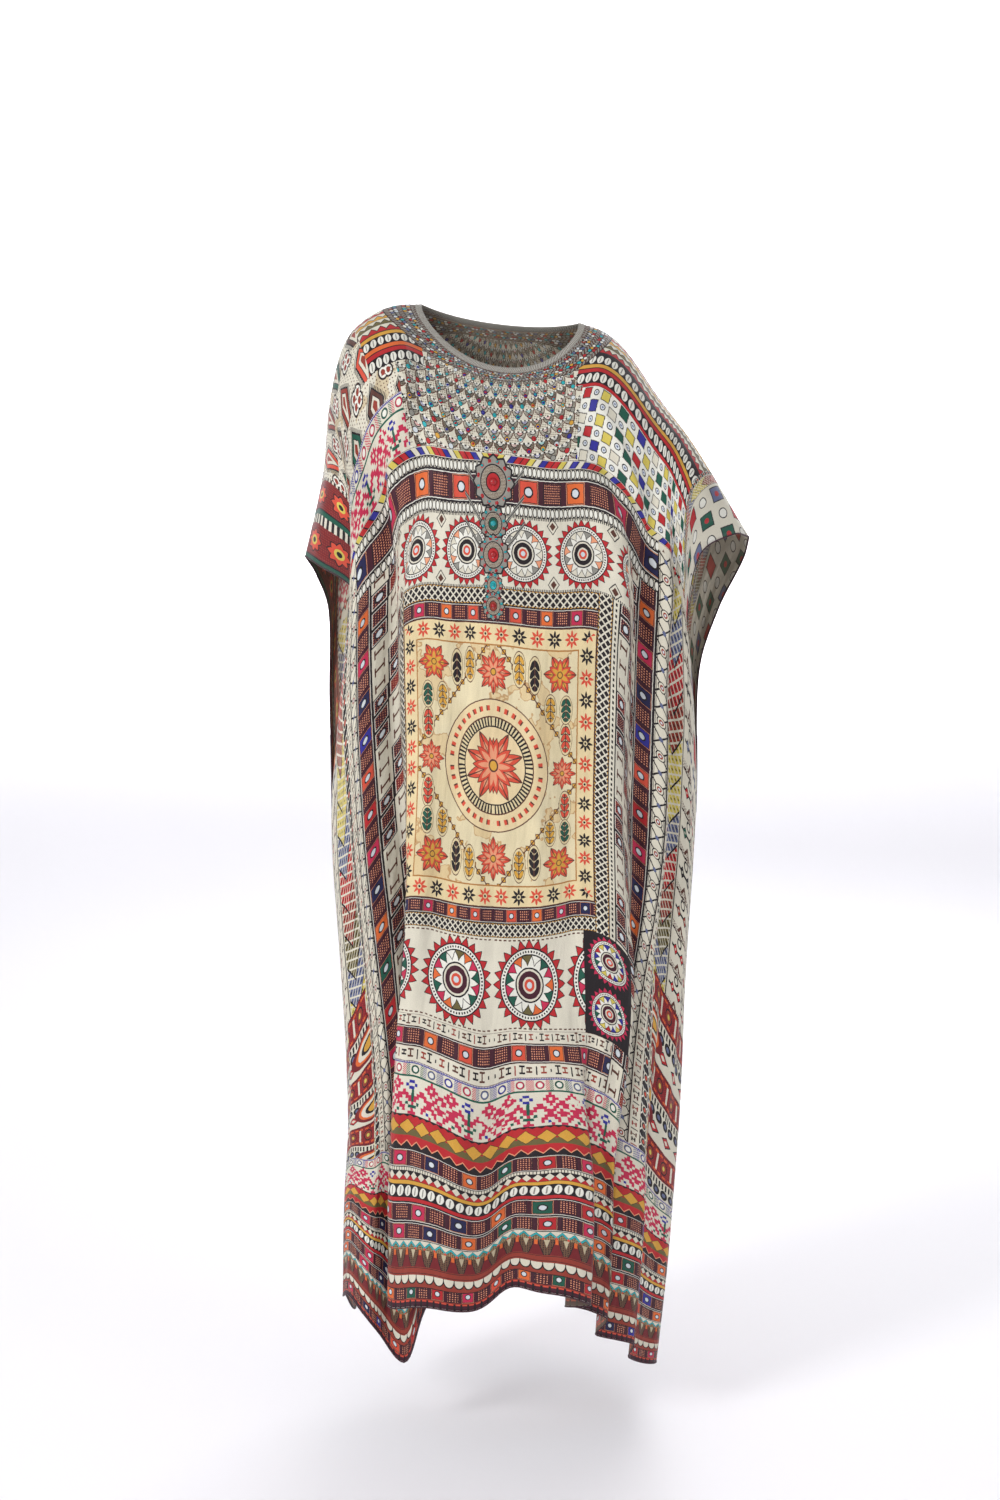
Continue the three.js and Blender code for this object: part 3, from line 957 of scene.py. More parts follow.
def charted(p, chart, colours, along, across):
    """A repeat that is drawn stitch by stitch: along and across run from 0 to 1 over one repeat."""
    picture = colours["."]
    row_at = (across * len(chart)).floor()
    for i, row in enumerate(chart):
        line = p.pick(along, [colours[letter] for letter in row])
        picture = p.paint(row_at.near(i, 0.4), picture, line)
    return picture


def cross_stitch(p):
    stitches, rows = len(STITCHED_SPRAY[0]), len(STITCHED_SPRAY)
    stitched = charted(p, STITCHED_SPRAY, STITCH_COLOURS, (p.u * (rows / stitches)).fract(), p.v)
    worn_off = p.noise(p.cut, 42, 1, 9.2) > 0.6
    return p.paint(worn_off * p.specks(90, 0.45), stitched, CREAM)


def zigzag_diamonds(p):
    y = p.v - 0.52
    diamond = abs(repeat(p.u, 1.3)) * 0.95 + abs(y) * 1.5
    return p.layers(
        OLIVE,
        (y < (p.u * 1.3).zigzag() * 0.12 - 0.02, RED),
        (diamond < 0.5, INK),
        (diamond < 0.46, OCHRE),
        (p.v < (p.u * 3).zigzag() * 0.08 + 0.04, INK),
        (p.v > 0.9, RED),
    )


def dark_teeth(p):
    edge = (p.u * 0.9).zigzag() * 0.5 + 0.25
    return p.layers(INK, (p.v < edge, RED), (abs(p.v - edge) < 0.06, BLUSH))


def diamond_beads(p):
    bead = abs(repeat(p.u, 1.05)) + abs(p.off) * 0.95
    return p.layers(INK, (p.off > 0, RED), (bead < 0.48, INK), (bead < 0.43, CREAM))


def turquoise_zigzag(p):
    wave = (p.u * 0.9).zigzag() * 0.6 + 0.2
    knot = length(repeat(p.u * 0.9 + 0.5) * 1.6, p.v - 0.86)
    return p.layers(
        dye(150, 132, 96),
        (p.dots(420, 0.36), BROWN),
        (p.v < wave - 0.1, CREAM),
        (abs(p.v - wave) < 0.17, INK),
        (abs(p.v - wave) < 0.12, TURQUOISE),
        (knot < 0.16, CORAL),
    )


def tassels(p):
    from_middle = abs(repeat(p.u, 1.15))
    spread = p.v.power(1.3) * 0.3 + 0.07
    triangle = abs(from_middle - 0.5) + p.v * 0.3
    return p.layers(
        dye(104, 74, 54),
        (p.dots(380, 0.3), INK),
        (triangle < 0.15, dye(186, 172, 142)),
        ((from_middle < spread + 0.05) * (p.v < 0.97), INK),
        ((from_middle < spread) * (p.v < 0.94), DARK_RED),
        ((from_middle < 0.09) * (p.v < 0.3), ORANGE),
        (p.v > 0.95, BRICK),
    )


def pale_cord(p):
    return p.paint(dashes(p.u, 1.1, 0.25), INK, CREAM)


def hem_edge(p):
    lines = p.layers(MAROON, (p.v < 0.2, CORAL), (p.v > 0.86, PALE))
    return p.paint(dashes(p.u, 1.2, 0.3), INK, lines)


def kilim_edge(p):
    slant = (p.u + p.v * 0.8) * 1.2
    colour = p.pick(hashed(slant.floor(), 0.41), [RED, BLUE, YELLOW, RED, CREAM])
    return p.layers(
        colour, (slant.fract() < 0.16, INK), (abs(p.off) > 0.4, CREAM), (abs(p.off) > 0.46, INK)
    )


def stitch_marks(p):
    x, cell = repeat(p.u, 2.1), (p.u * 2.1).floor()
    tall = hashed(cell) * 0.25 + 0.1
    stem = (abs(x) < 0.1) * (abs(p.off) < tall)
    cap = (abs(x) < 0.4) * (abs(abs(p.v - 0.45) - tall) < 0.06) * (hashed(cell, 0.37) > 0.35)
    colour = p.pick(hashed(cell, 0.27), [INK, BROWN, INK, BRICK])
    return p.layers(CREAM, (stem.larger(cap), colour), (abs(p.off) > 0.47, BROWN))


def stitch_line(p):
    return p.layers(CREAM, (dashes(p.u, 1.4, 0.45) * (abs(p.off) < 0.14), INK), (abs(p.off) > 0.43, INK))


def net_band(p):
    x, y = repeat(p.u), p.off
    radius = length(x, y)
    odd = is_odd(p.u.floor())
    return p.layers(
        CREAM,
        (abs(abs(x) - abs(y)) < 0.06, INK),
        (odd * (radius < 0.3), INK),
        (odd * (radius < 0.24), CREAM),
        (odd * (radius < 0.15), BRICK),
        (odd * (radius < 0.07), MIRROR),
        ((odd < 0.5) * (abs(x) + abs(y) < 0.16), SLATE),
        (abs(y) > 0.42, INK),
        (abs(y).between(0.35, 0.38), INK),
    )


# Stepped blocks, one letter a block: m maroon, s dark red
STEPPED_BLOCKS = (
    "mm...s",
    ".mms..",
    "...mmm",
)
BLOCK_COLOURS = {".": CREAM, "m": MAROON, "s": DARK_RED}
BLOCK_SHARES = {".": (0, 0, 0, 1), "m": (1, 1, 1, 1), "s": (1, 1, 1, 1)}
BLOCK_REPEATS = 0.5  # of the chart, to one band height


def stepped_squares(p):
    """Stepped blocks down a side column, each with a pale edge and a mirror or fine dots in it."""
    steps, rows = len(STEPPED_BLOCKS[0]), len(STEPPED_BLOCKS)
    along = (p.u * BLOCK_REPEATS).fract()
    blocks = charted(p, STEPPED_BLOCKS, BLOCK_COLOURS, along, p.v)
    dark = p.split(charted(p, STEPPED_BLOCKS, BLOCK_SHARES, along, p.v))[0] > 0.5
    x, y = repeat(along, steps), repeat(p.v, rows)
    odd = is_odd((along * steps).floor() + (p.v * rows).floor())
    radius = length(x, y)
    edge = square(x, y)
    twig = ((abs(x) < 0.07) * (abs(y) < 0.3)).larger(abs(y).between(0.22, 0.3) * (abs(x) < 0.26))
    return p.layers(
        blocks,
        (twig * (dark < 0.5), BROWN),
        (dark * p.dots(310, 0.21), BLUSH),
        (dark * (edge > 0.42), INK),
        (dark * edge.between(0.37, 0.41), PALE),
        (dark * odd * (radius < 0.25), INK),
        (dark * odd * (radius < 0.17), MIRROR),
        (abs(p.off) > 0.48, INK),
    )


def kilim(p):
    """Small diamonds in pointed runs of one colour, and a dark row of rosettes along one edge."""
    chevron = p.u * 1.3 + abs(p.v - 0.62) * 2.6
    patch = p.pick(hashed(chevron.floor(), 0.41), [YELLOW, SLATE, BRICK, SLATE, YELLOW, OLIVE, RED])
    middle = square(repeat(p.u + p.v, 4.6), repeat(p.u - p.v, 4.6))
    along, across = repeat(p.u, 2.6), (p.v - 0.14) * 2.6
    rosette = length(along, across)
    dark = p.layers(
        INK,
        (rosette.between(0.22, 0.3), CREAM),
        (rosette < 0.12, CORAL),
        ((abs(abs(along) - abs(across)) < 0.06) * (rosette > 0.3), PALE),
    )
    return p.layers(
        patch,
        (middle > 0.4, CREAM),
        (middle < 0.12, INK),
        (abs(repeat(chevron)) > 0.46, INK),
        (p.v < 0.28, dark),
        (p.v.between(0.28, 0.31), CREAM),
        (p.v > 0.93, CREAM),
        (p.v.between(0.95, 0.98), INK),
    )


# The prints of open fields, whose u and v are in metres. They are counted in repeats to a metre.
def outer_field(p):
    x, y = repeat(p.u, 27), repeat(p.v, 18)
    colour = p.pick(hashed((p.v * 18).floor()), [RED, INK, SLATE, RED, GREEN, INK, BRICK])
    diamond = abs(abs(x) - 0.2) * 1.6 + abs(y + 0.1) * 1.5
    ring = length(x, y + 0.38)
    return p.layers(
        CREAM,
        ((abs(y + 0.1) < 0.035) * (abs(x) < 0.44), INK),
        (diamond < 0.23, INK),
        (diamond < 0.18, colour),
        (diamond < 0.06, CREAM),
        (ring < 0.13, INK),
        (ring < 0.08, CREAM),
        ((abs(abs(x) - (y - 0.2) * 0.8) < 0.045) * y.between(0.14, 0.4), BROWN),
        (abs(y - 0.44 - (p.u * 81).zigzag() * 0.05) < 0.025, INK),
        (p.dots(300, 0.34) * (y > 0.3), BROWN),
    )


def arc_field(p):
    beat = (p.v * 9.6).fract()
    x, y = repeat(p.u, 30), (beat - 0.21) * 2.9
    eye = length(x * 1.3, y)
    weave = p.layers(
        DARK_RED,
        (abs(y) > 0.5, INK),
        (abs(y).between(0.36, 0.46) * dashes(p.u, 90, 0.4), ORANGE),
        (p.dots(330, 0.3), RED),
        (eye < 0.3, INK),
        (eye < 0.24, BRICK),
        (eye < 0.1, YELLOW),
        ((abs(x) > 0.44) * (abs(y) < 0.36), CREAM),
    )
    trio = length(repeat(p.u, 62), (beat - 0.62) * 6)
    leaf = abs(repeat(p.u, 31)) * 1.5 + abs(beat - 0.82) * 7
    moon = length(p.u * 22, (beat - 0.74) * 4.4)
    return p.layers(
        CREAM,
        ((abs(beat - 0.49) < 0.05) * dashes(p.u, 150), INK),
        (trio < 0.44, INK),
        (trio < 0.2, SLATE),
        (leaf < 0.62, INK),
        (leaf < 0.48, RED),
        (leaf < 0.24, CREAM),
        (moon < 1, DARK_RED),
        (moon < 0.8, ORANGE),
        (moon < 0.66, CREAM),
        (moon < 0.45, INK),
        (moon < 0.32, OCHRE),
        (beat < 0.42, weave),
    )


def diamond_field(p):
    across, down = p.u * 60 + p.v * 12, p.v * 56
    column, row = across.floor(), down.floor()
    x, y = repeat(across), repeat(down)
    odd = is_odd(column + row)
    edge = square(x, y) + (p.u * 700).zigzag() * 0.06
    colour = p.pick(hashed(column * 0.7 + row * 0.3), [BLUE, GREEN, YELLOW, RED, GREEN, YELLOW, CREAM])
    radius = length(x, y)
    return p.layers(
        PALE,
        ((edge < 0.48) * odd, INK),
        ((edge < 0.41) * odd, colour),
        ((radius < 0.27) * (odd < 0.5), INK),
        ((radius < 0.19) * (odd < 0.5), MIRROR),
        ((radius < 0.08) * (odd < 0.5), SLATE),
    )


def sleeve_shapes(p):
    across, down = p.u * 18, p.v * 15
    x, y = repeat(across), repeat(down)
    wedge = abs(x) + abs(y) * 0.6 - y * 0.3
    ring = length(abs(x) - 0.42, abs(y) - 0.4)
    colour = p.pick(hashed(across.floor() + down.floor() * 2), [CORAL, GREEN, BRICK, BROWN])
    return p.layers(
        CREAM,
        (p.noise(p.cut, 30, 2, 3.3) > 0.58, dye(196, 180, 148)),
        ((wedge < 0.38) * dashes(p.u + p.v * 0.6, 300), INK),
        (wedge < 0.3, INK),
        (wedge < 0.26, colour),
        (wedge < 0.17, INK),
        (wedge < 0.15, CREAM),
        (wedge < 0.08, BRICK),
        (ring < 0.15, INK),
        (ring < 0.11, PALE),
        (ring < 0.06, BRICK),
        (p.dots(200, 0.2) * (wedge > 0.4), BROWN),
    )


def sleeve_bands(p):
    beat = (p.u * 17).fract()
    x, y = repeat(p.v, 22), (beat - 0.45) * 1.7
    radius = length(x, y)
    petals = (y.turn(x) * 8).zigzag() * 0.12 + 0.26
    return p.layers(
        DARK_RED,
        (p.dots(330, 0.3), BRICK),
        (radius < petals + 0.05, INK),
        (radius < petals, CORAL),
        (radius < 0.17, YELLOW),
        (radius < 0.09, INK),
        (beat > 0.8, CREAM),
        ((beat > 0.8) * dashes(p.v, 120), INK),
        (beat < 0.1, GREEN),
        (beat.between(0.1, 0.13), INK),
    )


def sleeve_squares(p):
    across, down = p.u * 30, p.v * 30
    x, y = repeat(across), repeat(down)
    odd = is_odd(across.floor() + down.floor())
    edge = square(x, y)
    radius = length(x, y)
    colour = p.pick(hashed(across.floor() * 3 + down.floor()), [GREEN, GREEN, SLATE, RED])
    return p.layers(
        CREAM,
        (odd * (edge < 0.38), INK),
        (odd * (edge < 0.33), colour),
        (odd * (radius < 0.14), RED),
        ((odd < 0.5) * (radius < 0.26), INK),
        ((odd < 0.5) * (radius < 0.21), PALE),
    )


def flower(p, ground, x, y, size, petals, outer, inner):
    """An open flower with pointed petals, size metres from its middle to their tips."""
    radius = length(x, y) * (1 / size)
    turn = y.turn(x) * petals
    tip = turn.zigzag() * 0.55 + 0.45
    back = (turn + 0.5).zigzag() * 0.4 + 0.34
    return p.layers(
        ground,
        (radius < tip + 0.05, BROWN),
        (radius < tip, outer),
        (radius < tip - 0.24, inner),
        ((radius < tip) * (turn.zigzag() > 0.93), BROWN),
        (radius < back + 0.045, BROWN),
        (radius < back, outer),
        (radius < back - 0.16, inner),
        (radius < 0.18, BROWN),
        (radius < 0.13, OCHRE),
    )


def sprig(p, ground, x, y, half_width, half_height, colour):
    """A stem with pairs of leaves inside a fine oval, centred where x and y are 0."""
    x, y = x * (1 / half_width), y * (1 / half_height)
    leaf = length((abs(x) - 0.36) * 2.7, repeat(y * 2.2 + abs(x) * 0.9) * 2.5)
    hull = length(x, y)
    inside = hull < 0.86
    return p.layers(
        ground,
        (hull < 1.06, BROWN),
        (hull < 1, GOLD_CREAM),
        ((leaf < 1.2) * inside, INK),
        ((leaf < 0.92) * inside, colour),
        ((abs(x) < 0.07) * inside, BROWN),
    )


# The golden panel, in metres from its middle. Its flowers and sprigs lie in all four quarters.
PANEL_HALF_WIDTH = 0.165
PANEL_HALF_HEIGHT = 0.188
PANEL_BORDER_WIDTH = 0.0295
STAR_ROW = 0.0145  # from the panel's edge to the middle of the stars
STARS_PER_METRE = 36
DISC_RADIUS = 0.088
PANEL_FLOWERS = (
    # across, down, size, petals, outer colour, inner colour
    (0, 0, 0.049, 9, CORAL, BLUSH),
    (0.113, 0, 0.022, 8, CORAL, BLUSH),
    (0, 0.124, 0.029, 8, CORAL, BLUSH),
    (0.107, 0.129, 0.026, 6, CORAL, OCHRE),
)
PANEL_SPRIGS = (
    # across, down, half width, half height, colour
    (0.042, 0.131, 0.01, 0.023, OCHRE),
    (0.066, 0.126, 0.01, 0.024, INK),
    (0.118, 0.046, 0.01, 0.021, CORAL),
    (0.118, 0.084, 0.01, 0.018, GREEN),
    (0.092, 0.084, 0.01, 0.019, OCHRE),
)


def panel_border(p, x, y, from_edge, along):
    """A row of small stars, alternately coral and ink, between fine lines."""
    star_x = repeat(along, STARS_PER_METRE)
    star_y = (from_edge - STAR_ROW) * STARS_PER_METRE
    star = length(star_x, star_y)
    points = (star_y.turn(star_x) * 8).zigzag() * 0.26 + 0.17
    return p.layers(
        PANEL_BORDER,
        (star < points, p.pick(((along * STARS_PER_METRE).floor() * 0.5).fract(), [CORAL, INK])),
        (star < 0.12, GOLD_CREAM),
        (star < 0.06, INK),
        (abs(from_edge - PANEL_BORDER_WIDTH + 0.001) < 0.001, PANEL_LINE),
        (from_edge < 0.0015, BROWN),
    )


def panel(p):
    """The golden middle of the print: rosettes and leaf sprigs inside a border of small stars."""
    x, y = p.u, abs(p.v - PANEL_HALF_HEIGHT)
    stain = p.noise(p.cut, 22, 3, 8.8)
    radius, turn = length(x, y), y.turn(x)
    leaves = ((x - y) * 60).zigzag() * 0.006
    from_vine = abs(x * (1 / 0.148) + y * (1 / 0.172) - 1) * 0.11
    beads = abs(radius - 0.0765) < 0.0035
    picture = p.layers(
        p.paint(p.noise(p.cut, 16, 3, 4.4), GOLD_CREAM, dye(222, 211, 178)),
        ((stain > 0.55) * 0.3, OCHRE),
        (stain.between(0.545, 0.56) * 0.6, PANEL_LINE),
        (from_vine < leaves - 0.001, BROWN),
        (from_vine < leaves - 0.0025, OCHRE),
        (from_vine < 0.0008, BROWN),
        (radius < DISC_RADIUS, dye(222, 200, 156)),
        (abs(radius - DISC_RADIUS) < 0.0008, BROWN),
        (beads * dashes(turn, 38), CORAL),
        (beads * ((turn * 38 + 0.5).fract() < 0.16), BROWN),
        (abs(radius - 0.0585) < 0.0065, GOLD_CREAM),
        ((abs(radius - 0.0585) < 0.0055) * dashes(turn, 70), INK),
        (abs(radius - 0.0522) < 0.0009, INK),
        (abs(radius - 0.0648) < 0.0009, BROWN),
    )
    for x0, y0, half_width, half_height, colour in PANEL_SPRIGS:
        picture = sprig(p, picture, x - x0, y - y0, half_width, half_height, colour)
    for x0, y0, size, petals, outer, inner in PANEL_FLOWERS:
        picture = flower(p, picture, x - x0, y - y0, size, petals, outer, inner)
    edge_x, edge_y = PANEL_HALF_WIDTH - x, PANEL_HALF_HEIGHT - y
    from_edge = edge_x.smaller(edge_y)
    border = panel_border(p, x, y, from_edge, p.paint(edge_x < edge_y, x, y))
    return p.paint(from_edge < PANEL_BORDER_WIDTH, picture, border)


# The pendant, in metres of the cut
PENDANT_SWAGS = (0.322, 0.356, 0.39)  # depths at which its slanted bead rows meet
PENDANT_STONES = 12  # round each plate
PENDANT_ROUNDS = (
    # down the middle, radius, colour of the middle ring
    (0.277, 0.031, RED),
    (0.33, 0.021, GREEN),
    (0.37, 0.024, RED),
    (0.409, 0.015, TURQUOISE),
    (0.436, 0.017, BRICK),
)


def pendant(p, picture):
    """A hanging row of round silver plates over the print, with swags of beads between them."""
    x = p.x - PRINT_MIDDLE * MM
    side = abs(x)
    for drop in PENDANT_SWAGS:
        line = (abs(p.depth + side * 1.3 - drop) < 0.0034) * (side < 0.05)
        picture = p.layers(picture, (line, INK), (line * dashes(side + p.depth, 260, 0.4), SILVER))
    for level, radius, colour in PENDANT_ROUNDS:
        y = p.depth - level
        out = length(x, y) * (1 / radius)
        turn = y.turn(x) * PENDANT_STONES
        petal = turn.zigzag() * 0.16
        picture = p.layers(
            picture,
            (out < petal + 1.02, INK),
            (out < petal + 0.92, SILVER),
            (out.between(0.8, 0.93) * dashes(turn + 0.25, 1, 0.6), colour),
            (out < 0.74, INK),
            (out < 0.68, PALE_SILVER),
            ((out < 0.68) * p.dots(560, 0.4), BROWN),
            (out < 0.42, INK),
            (out < 0.36, colour),
            (out < 0.16, MIRROR),
        )
    return picture


# The yoke's tiers of scallops, from the neck outwards
SCALLOPS_START = 1.1  # where the first tier begins, to the size of the neck
TIERS_PER_NECK = 7.2
SCALLOPS_ROUND = 62
SCALLOP_TIP = 0.72  # how far across its tier a scallop's stone lies


def yoke(p):
    """Tiers of small scallops round the neck, dotted like filigree, with a stone at each tip."""
    x, y = p.x * (1 / (NECK_HALF_WIDTH * MM)), p.depth * (1 / (NECKS["front"]["depth"] * MM))
    out = (length(x, y) - SCALLOPS_START) * TIERS_PER_NECK
    tier, inner = out.floor(), out.fract()
    beat = y.turn(x) * SCALLOPS_ROUND + tier * 0.5
    across = repeat(beat)
    scallop = length(across, inner * 0.62)
    tip = length(across * 1.6, (inner - SCALLOP_TIP) * 1.3)
    filigree = p.dots(520, 0.4)
    key = (tier * 0.37 + beat.floor() * 0.21).fract()
    stone = p.pick(key, [RED, TURQUOISE, SILVER, BLUE, RED, MIRROR, TURQUOISE, OCHRE])
    cup = p.pick((key * 3.1).fract(), [SILVER, RED, SILVER, BLUE, SILVER, TURQUOISE, SILVER, BRICK])
    fill = p.pick((tier * 0.29).fract(), [PALE_SILVER, CREAM, dye(138, 126, 108), CREAM])
    return p.layers(
        CREAM,
        (p.dots(300, 0.36) * (p.noise(p.cut, 40, 2, 2.2) > 0.46), dye(150, 140, 124)),
        (scallop < 0.5, BROWN),
        (scallop < 0.44, fill),
        ((scallop < 0.44) * filigree, INK),
        (scallop < 0.27, INK),
        (scallop < 0.22, cup),
        ((scallop < 0.22) * filigree, PALE),
        (inner < 0.13, INK),
        ((inner < 0.13) * dashes(y.turn(x), 190, 0.45), PALE),
        (tip < 0.32, INK),
        (tip < 0.25, stone),
    )


BORDER_ROWS = 7
BORDER_BEADS = 210  # to a metre round the neck


def neck_border(p, picture):
    """Rows of printed beads that follow the neck. from_neck is 1 at the border's outer edge."""
    rows = p.from_neck * BORDER_ROWS
    row = rows.floor()
    beat = p.around * BORDER_BEADS + row * 0.5
    x, y = repeat(beat), repeat(rows)
    colour = p.pick(
        (beat.floor() * 0.29 + row * 0.17).fract(),
        [SILVER, PALE, SILVER, BRICK, SILVER, MIRROR, TURQUOISE, PALE, SILVER, OCHRE, SLATE, RED],
    )
    cord = (row * 0.34).fract() < 0.3
    beads = p.layers(INK, (length(x, y) < 0.42, colour), (cord, p.paint(dashes(x + y, 1), SILVER, BROWN)))
    return p.layers(picture, (p.from_neck < 1.04, INK), (p.from_neck < 1, beads))


PRINTS = {
    drawn.__name__: drawn
    for drawn in (
        *(mirror_band, brick_squares, seed_fringe, seed_row, petal_row, lattice, roundels, ring_band),
        *(colour_roundels, dark_roundels, cross_stitch, zigzag_diamonds, dark_teeth, diamond_beads),
        *(turquoise_zigzag, tassels, pale_cord, hem_edge, kilim_edge, stitch_marks, stitch_line, net_band),
        *(stepped_squares, kilim, outer_field, arc_field, diamond_field, sleeve_shapes, sleeve_bands),
        *(sleeve_squares, panel, yoke),
    )
}
for name, colour in {"olive": OLIVE, "ochre": OCHRE, "red": RED}.items():
    PRINTS[name + "_teeth"] = partial(teeth, ground=colour)
for name, colour in {"red": RED, "ochre": OCHRE, "orange": ORANGE, "brick": BRICK, "dark": INK}.items():
    PRINTS[name + "_stripe"] = partial(stripe, colour=colour)

# How far a print's lines wander, in its own measure: metres in an open field, and else band heights
WANDER = 0.05
WANDERS = {
    "outer_field": 0.0012,
    "arc_field": 0.0014,
    "diamond_field": 0.0014,
    "sleeve_shapes": 0.0014,
    "sleeve_bands": 0.0012,
    "sleeve_squares": 0.0014,
    "panel": 0.0012,
    "yoke": 0.0008,
    "roundels": 0.016,
    "colour_roundels": 0.012,
    "dark_roundels": 0.016,
    "stepped_squares": 0.012,
    "kilim": 0.012,
}


WEAVE_HEIGHT = 0.0005  # of the crepe's threads, in metres
WRINKLE_HEIGHT = 0.02  # of the fine upright wrinkles
SHADES = (
    # scale, detail, seed, depth and least share of the print's uneven darkness
    (11, 3, 1.7, 0.24, 0.9),
    (26, 3, 4.1, 0.3, 0.84),
    (900, 1, 5.5, 0.5, 0.75),
)
REVERSE_PALENESS = 0.26
SILK = {"Roughness": 0.54, "Specular IOR Level": 0.35, "Sheen Weight": 0.12, "Sheen Roughness": 0.45}
GRAIN_SCALE = 900  # of the fine grain on the trims
GRAIN_SHADE = 0.62  # how dark the grain is, to the colour


def blank_material(name):
    material = bpy.data.materials.new(name)
    material.use_nodes = True
    return material


def finish_material(material, picture, height, strength, distance, looks):
    """Joins a material's colour, relief and plain looks to its shader."""
    tree = material.node_tree
    bump = {"Strength": strength, "Distance": distance, "Height": height}
    relief = Drawing(tree).node("Bump", bump, "Normal")
    for slot, value in {"Base Color": picture, "Normal": relief, **looks}.items():
        feed(tree, value, tree.nodes["Principled BSDF"].inputs[slot])
    return material


def print_material(name):
    """The printed silk in one of its prints: fine crepe, a soft sheen, and a paler reverse."""
    if name in bpy.data.materials:
        return bpy.data.materials[name]
    material = blank_material(name)
    plain_name = name.removesuffix(PENDANT_MARK)
    p = Print(material.node_tree, WANDERS.get(plain_name, WANDER))
    picture = PRINTS[plain_name](p)
    if name.endswith(PENDANT_MARK):
        picture = pendant(p, picture)
    picture = neck_border(p, picture)
    for scale, detail, seed, depth, least in SHADES:
        picture = p.shaded(picture, p.noise(p.cut, scale, detail, seed) * depth + least)
    reverse = p.node("Attribute", {}, "Fac", attribute_name="reverse")
    picture = p.paint(reverse * REVERSE_PALENESS, picture, REVERSE)
    weave = p.noise(p.cut, 2600, 1) * 0.5 + p.noise(p.cut, 420, 2, 6.1)
    stretched = p.node("CombineXYZ", {"X": p.x * 26 + p.depth * 3, "Y": p.depth * 7})
    height = weave * WEAVE_HEIGHT + p.noise(stretched, 1, 3, 2.7) * WRINKLE_HEIGHT
    return finish_material(material, picture, height, 0.55, 1, SILK)


def plain_material(name, colour, looks):
    material = blank_material(name)
    drawing = Drawing(material.node_tree)
    grain = drawing.noise(drawing.node("TexCoord", {}, "Object"), GRAIN_SCALE)
    shade = (*(share * GRAIN_SHADE for share in colour[:3]), 1)
    picture = drawing.ramp(grain, [(0.35, shade), (0.65, colour)], "LINEAR")
    return finish_material(material, picture, grain, 0.3, 0.0003, looks)


def binding_material():
    """Corded binding: slanted silver and dark threads with small coloured beads between them."""
    material = blank_material("corded_binding")
    drawing = Drawing(material.node_tree)
    along, round_it = drawing.map("band")
    thread = (along * 420 + round_it * 9).fract()
    picture = drawing.ramp(thread, [(0, SILVER), (0.3, INK), (0.42, PALE), (0.66, SILVER), (0.82, BROWN)])
    return finish_material(material, picture, abs(thread - 0.5), 0.8, 0.0006, {"Roughness": 0.5})


def region_numbers(panel, regions):
    """For each cell of a panel's grid, the last region that covers it."""
    x = (panel.x[:-1] + panel.x[1:]) / 2
    depth = (panel.depth[:-1] + panel.depth[1:]) / 2
    x, depth = np.meshgrid(x, depth)
    numbers = np.zeros(x.shape, int)
    for i, region in enumerate(regions):
        inside = (x > region.left) & (x < region.right) & (depth > region.top) & (depth < region.bottom)
        numbers[inside] = i
    return numbers


def band_place(region, x, depth):
    """A place in a region's own measure: along it in band heights or in metres, and across it from 0 to 1."""
    sideways = region.right - x if "mirrored" in region.run else x - region.left
    if region.run.startswith("field"):
        return sideways * MM, (depth - region.top) * MM
    if region.run.startswith("down"):
        width = region.right - region.left
        return (depth - region.top) / width, sideways / width
    height = region.bottom - region.top
    return sideways / height, (depth - region.top) / height


BORDER_WIDTHS = {"front": (15, 44), "back": (18, 44)}  # of the printed neck border: at its middle, at its sides
BORDER_WIDENS = (0.35, 1)  # from where to where it grows wider, as shares of the neck's half width
NECK_PLACES = 181  # at which the neck's edge is measured


def neck_places(panel):
    """For each point of a panel, how far round the neck it lies in metres, and its share of the neck border."""
    turn = np.linspace(-math.pi / 2, math.pi / 2, NECK_PLACES)
    edge_x = NECK_HALF_WIDTH * np.sin(turn)
    edge_depth = NECKS[panel.side]["depth"] * np.cos(turn)
    run = np.concatenate([[0], np.cumsum(np.hypot(np.diff(edge_x), np.diff(edge_depth)))])
    widths = mix(*BORDER_WIDTHS[panel.side], smooth(*BORDER_WIDENS, np.abs(edge_x) / NECK_HALF_WIDTH))
    x = np.broadcast_to(panel.x, panel.cut_depth.shape)
    nearest = np.full(x.shape, np.inf)
    around = np.zeros(x.shape)
    width = np.zeros(x.shape)
    for at_x, at_depth, run_there, width_there in zip(edge_x, edge_depth, run, widths):
        away = np.hypot(x - at_x, panel.cut_depth - at_depth)
        closer = away < nearest
        nearest = np.where(closer, away, nearest)
        around = np.where(closer, run_there, around)
        width = np.where(closer, width_there, width)
    return around * MM, nearest / width


def own_piece(bm, name):
    mesh = bpy.data.meshes.new(name)
    bm.to_mesh(mesh)
    bm.free()
    for polygon in mesh.polygons:
        polygon.use_smooth = True
    piece = bpy.data.objects.new(name, mesh)
    bpy.context.scene.collection.objects.link(piece)
    return piece


def placed_grid(points):
    """A bmesh grid whose corners lie at a table of points, rows down and columns across."""
    rows, columns = points.shape[:2]
    bm = bmesh.new()
    bmesh.ops.create_grid(bm, x_segments=columns - 1, y_segments=rows - 1, size=1)
    for vert in bm.verts:
        column = round((vert.co.x + 1) / 2 * (columns - 1))
        row = round((1 - vert.co.y) / 2 * (rows - 1))
        vert.index = row * columns + column
        vert.co = points[row, column]
    bm.verts.sort()
    return bm


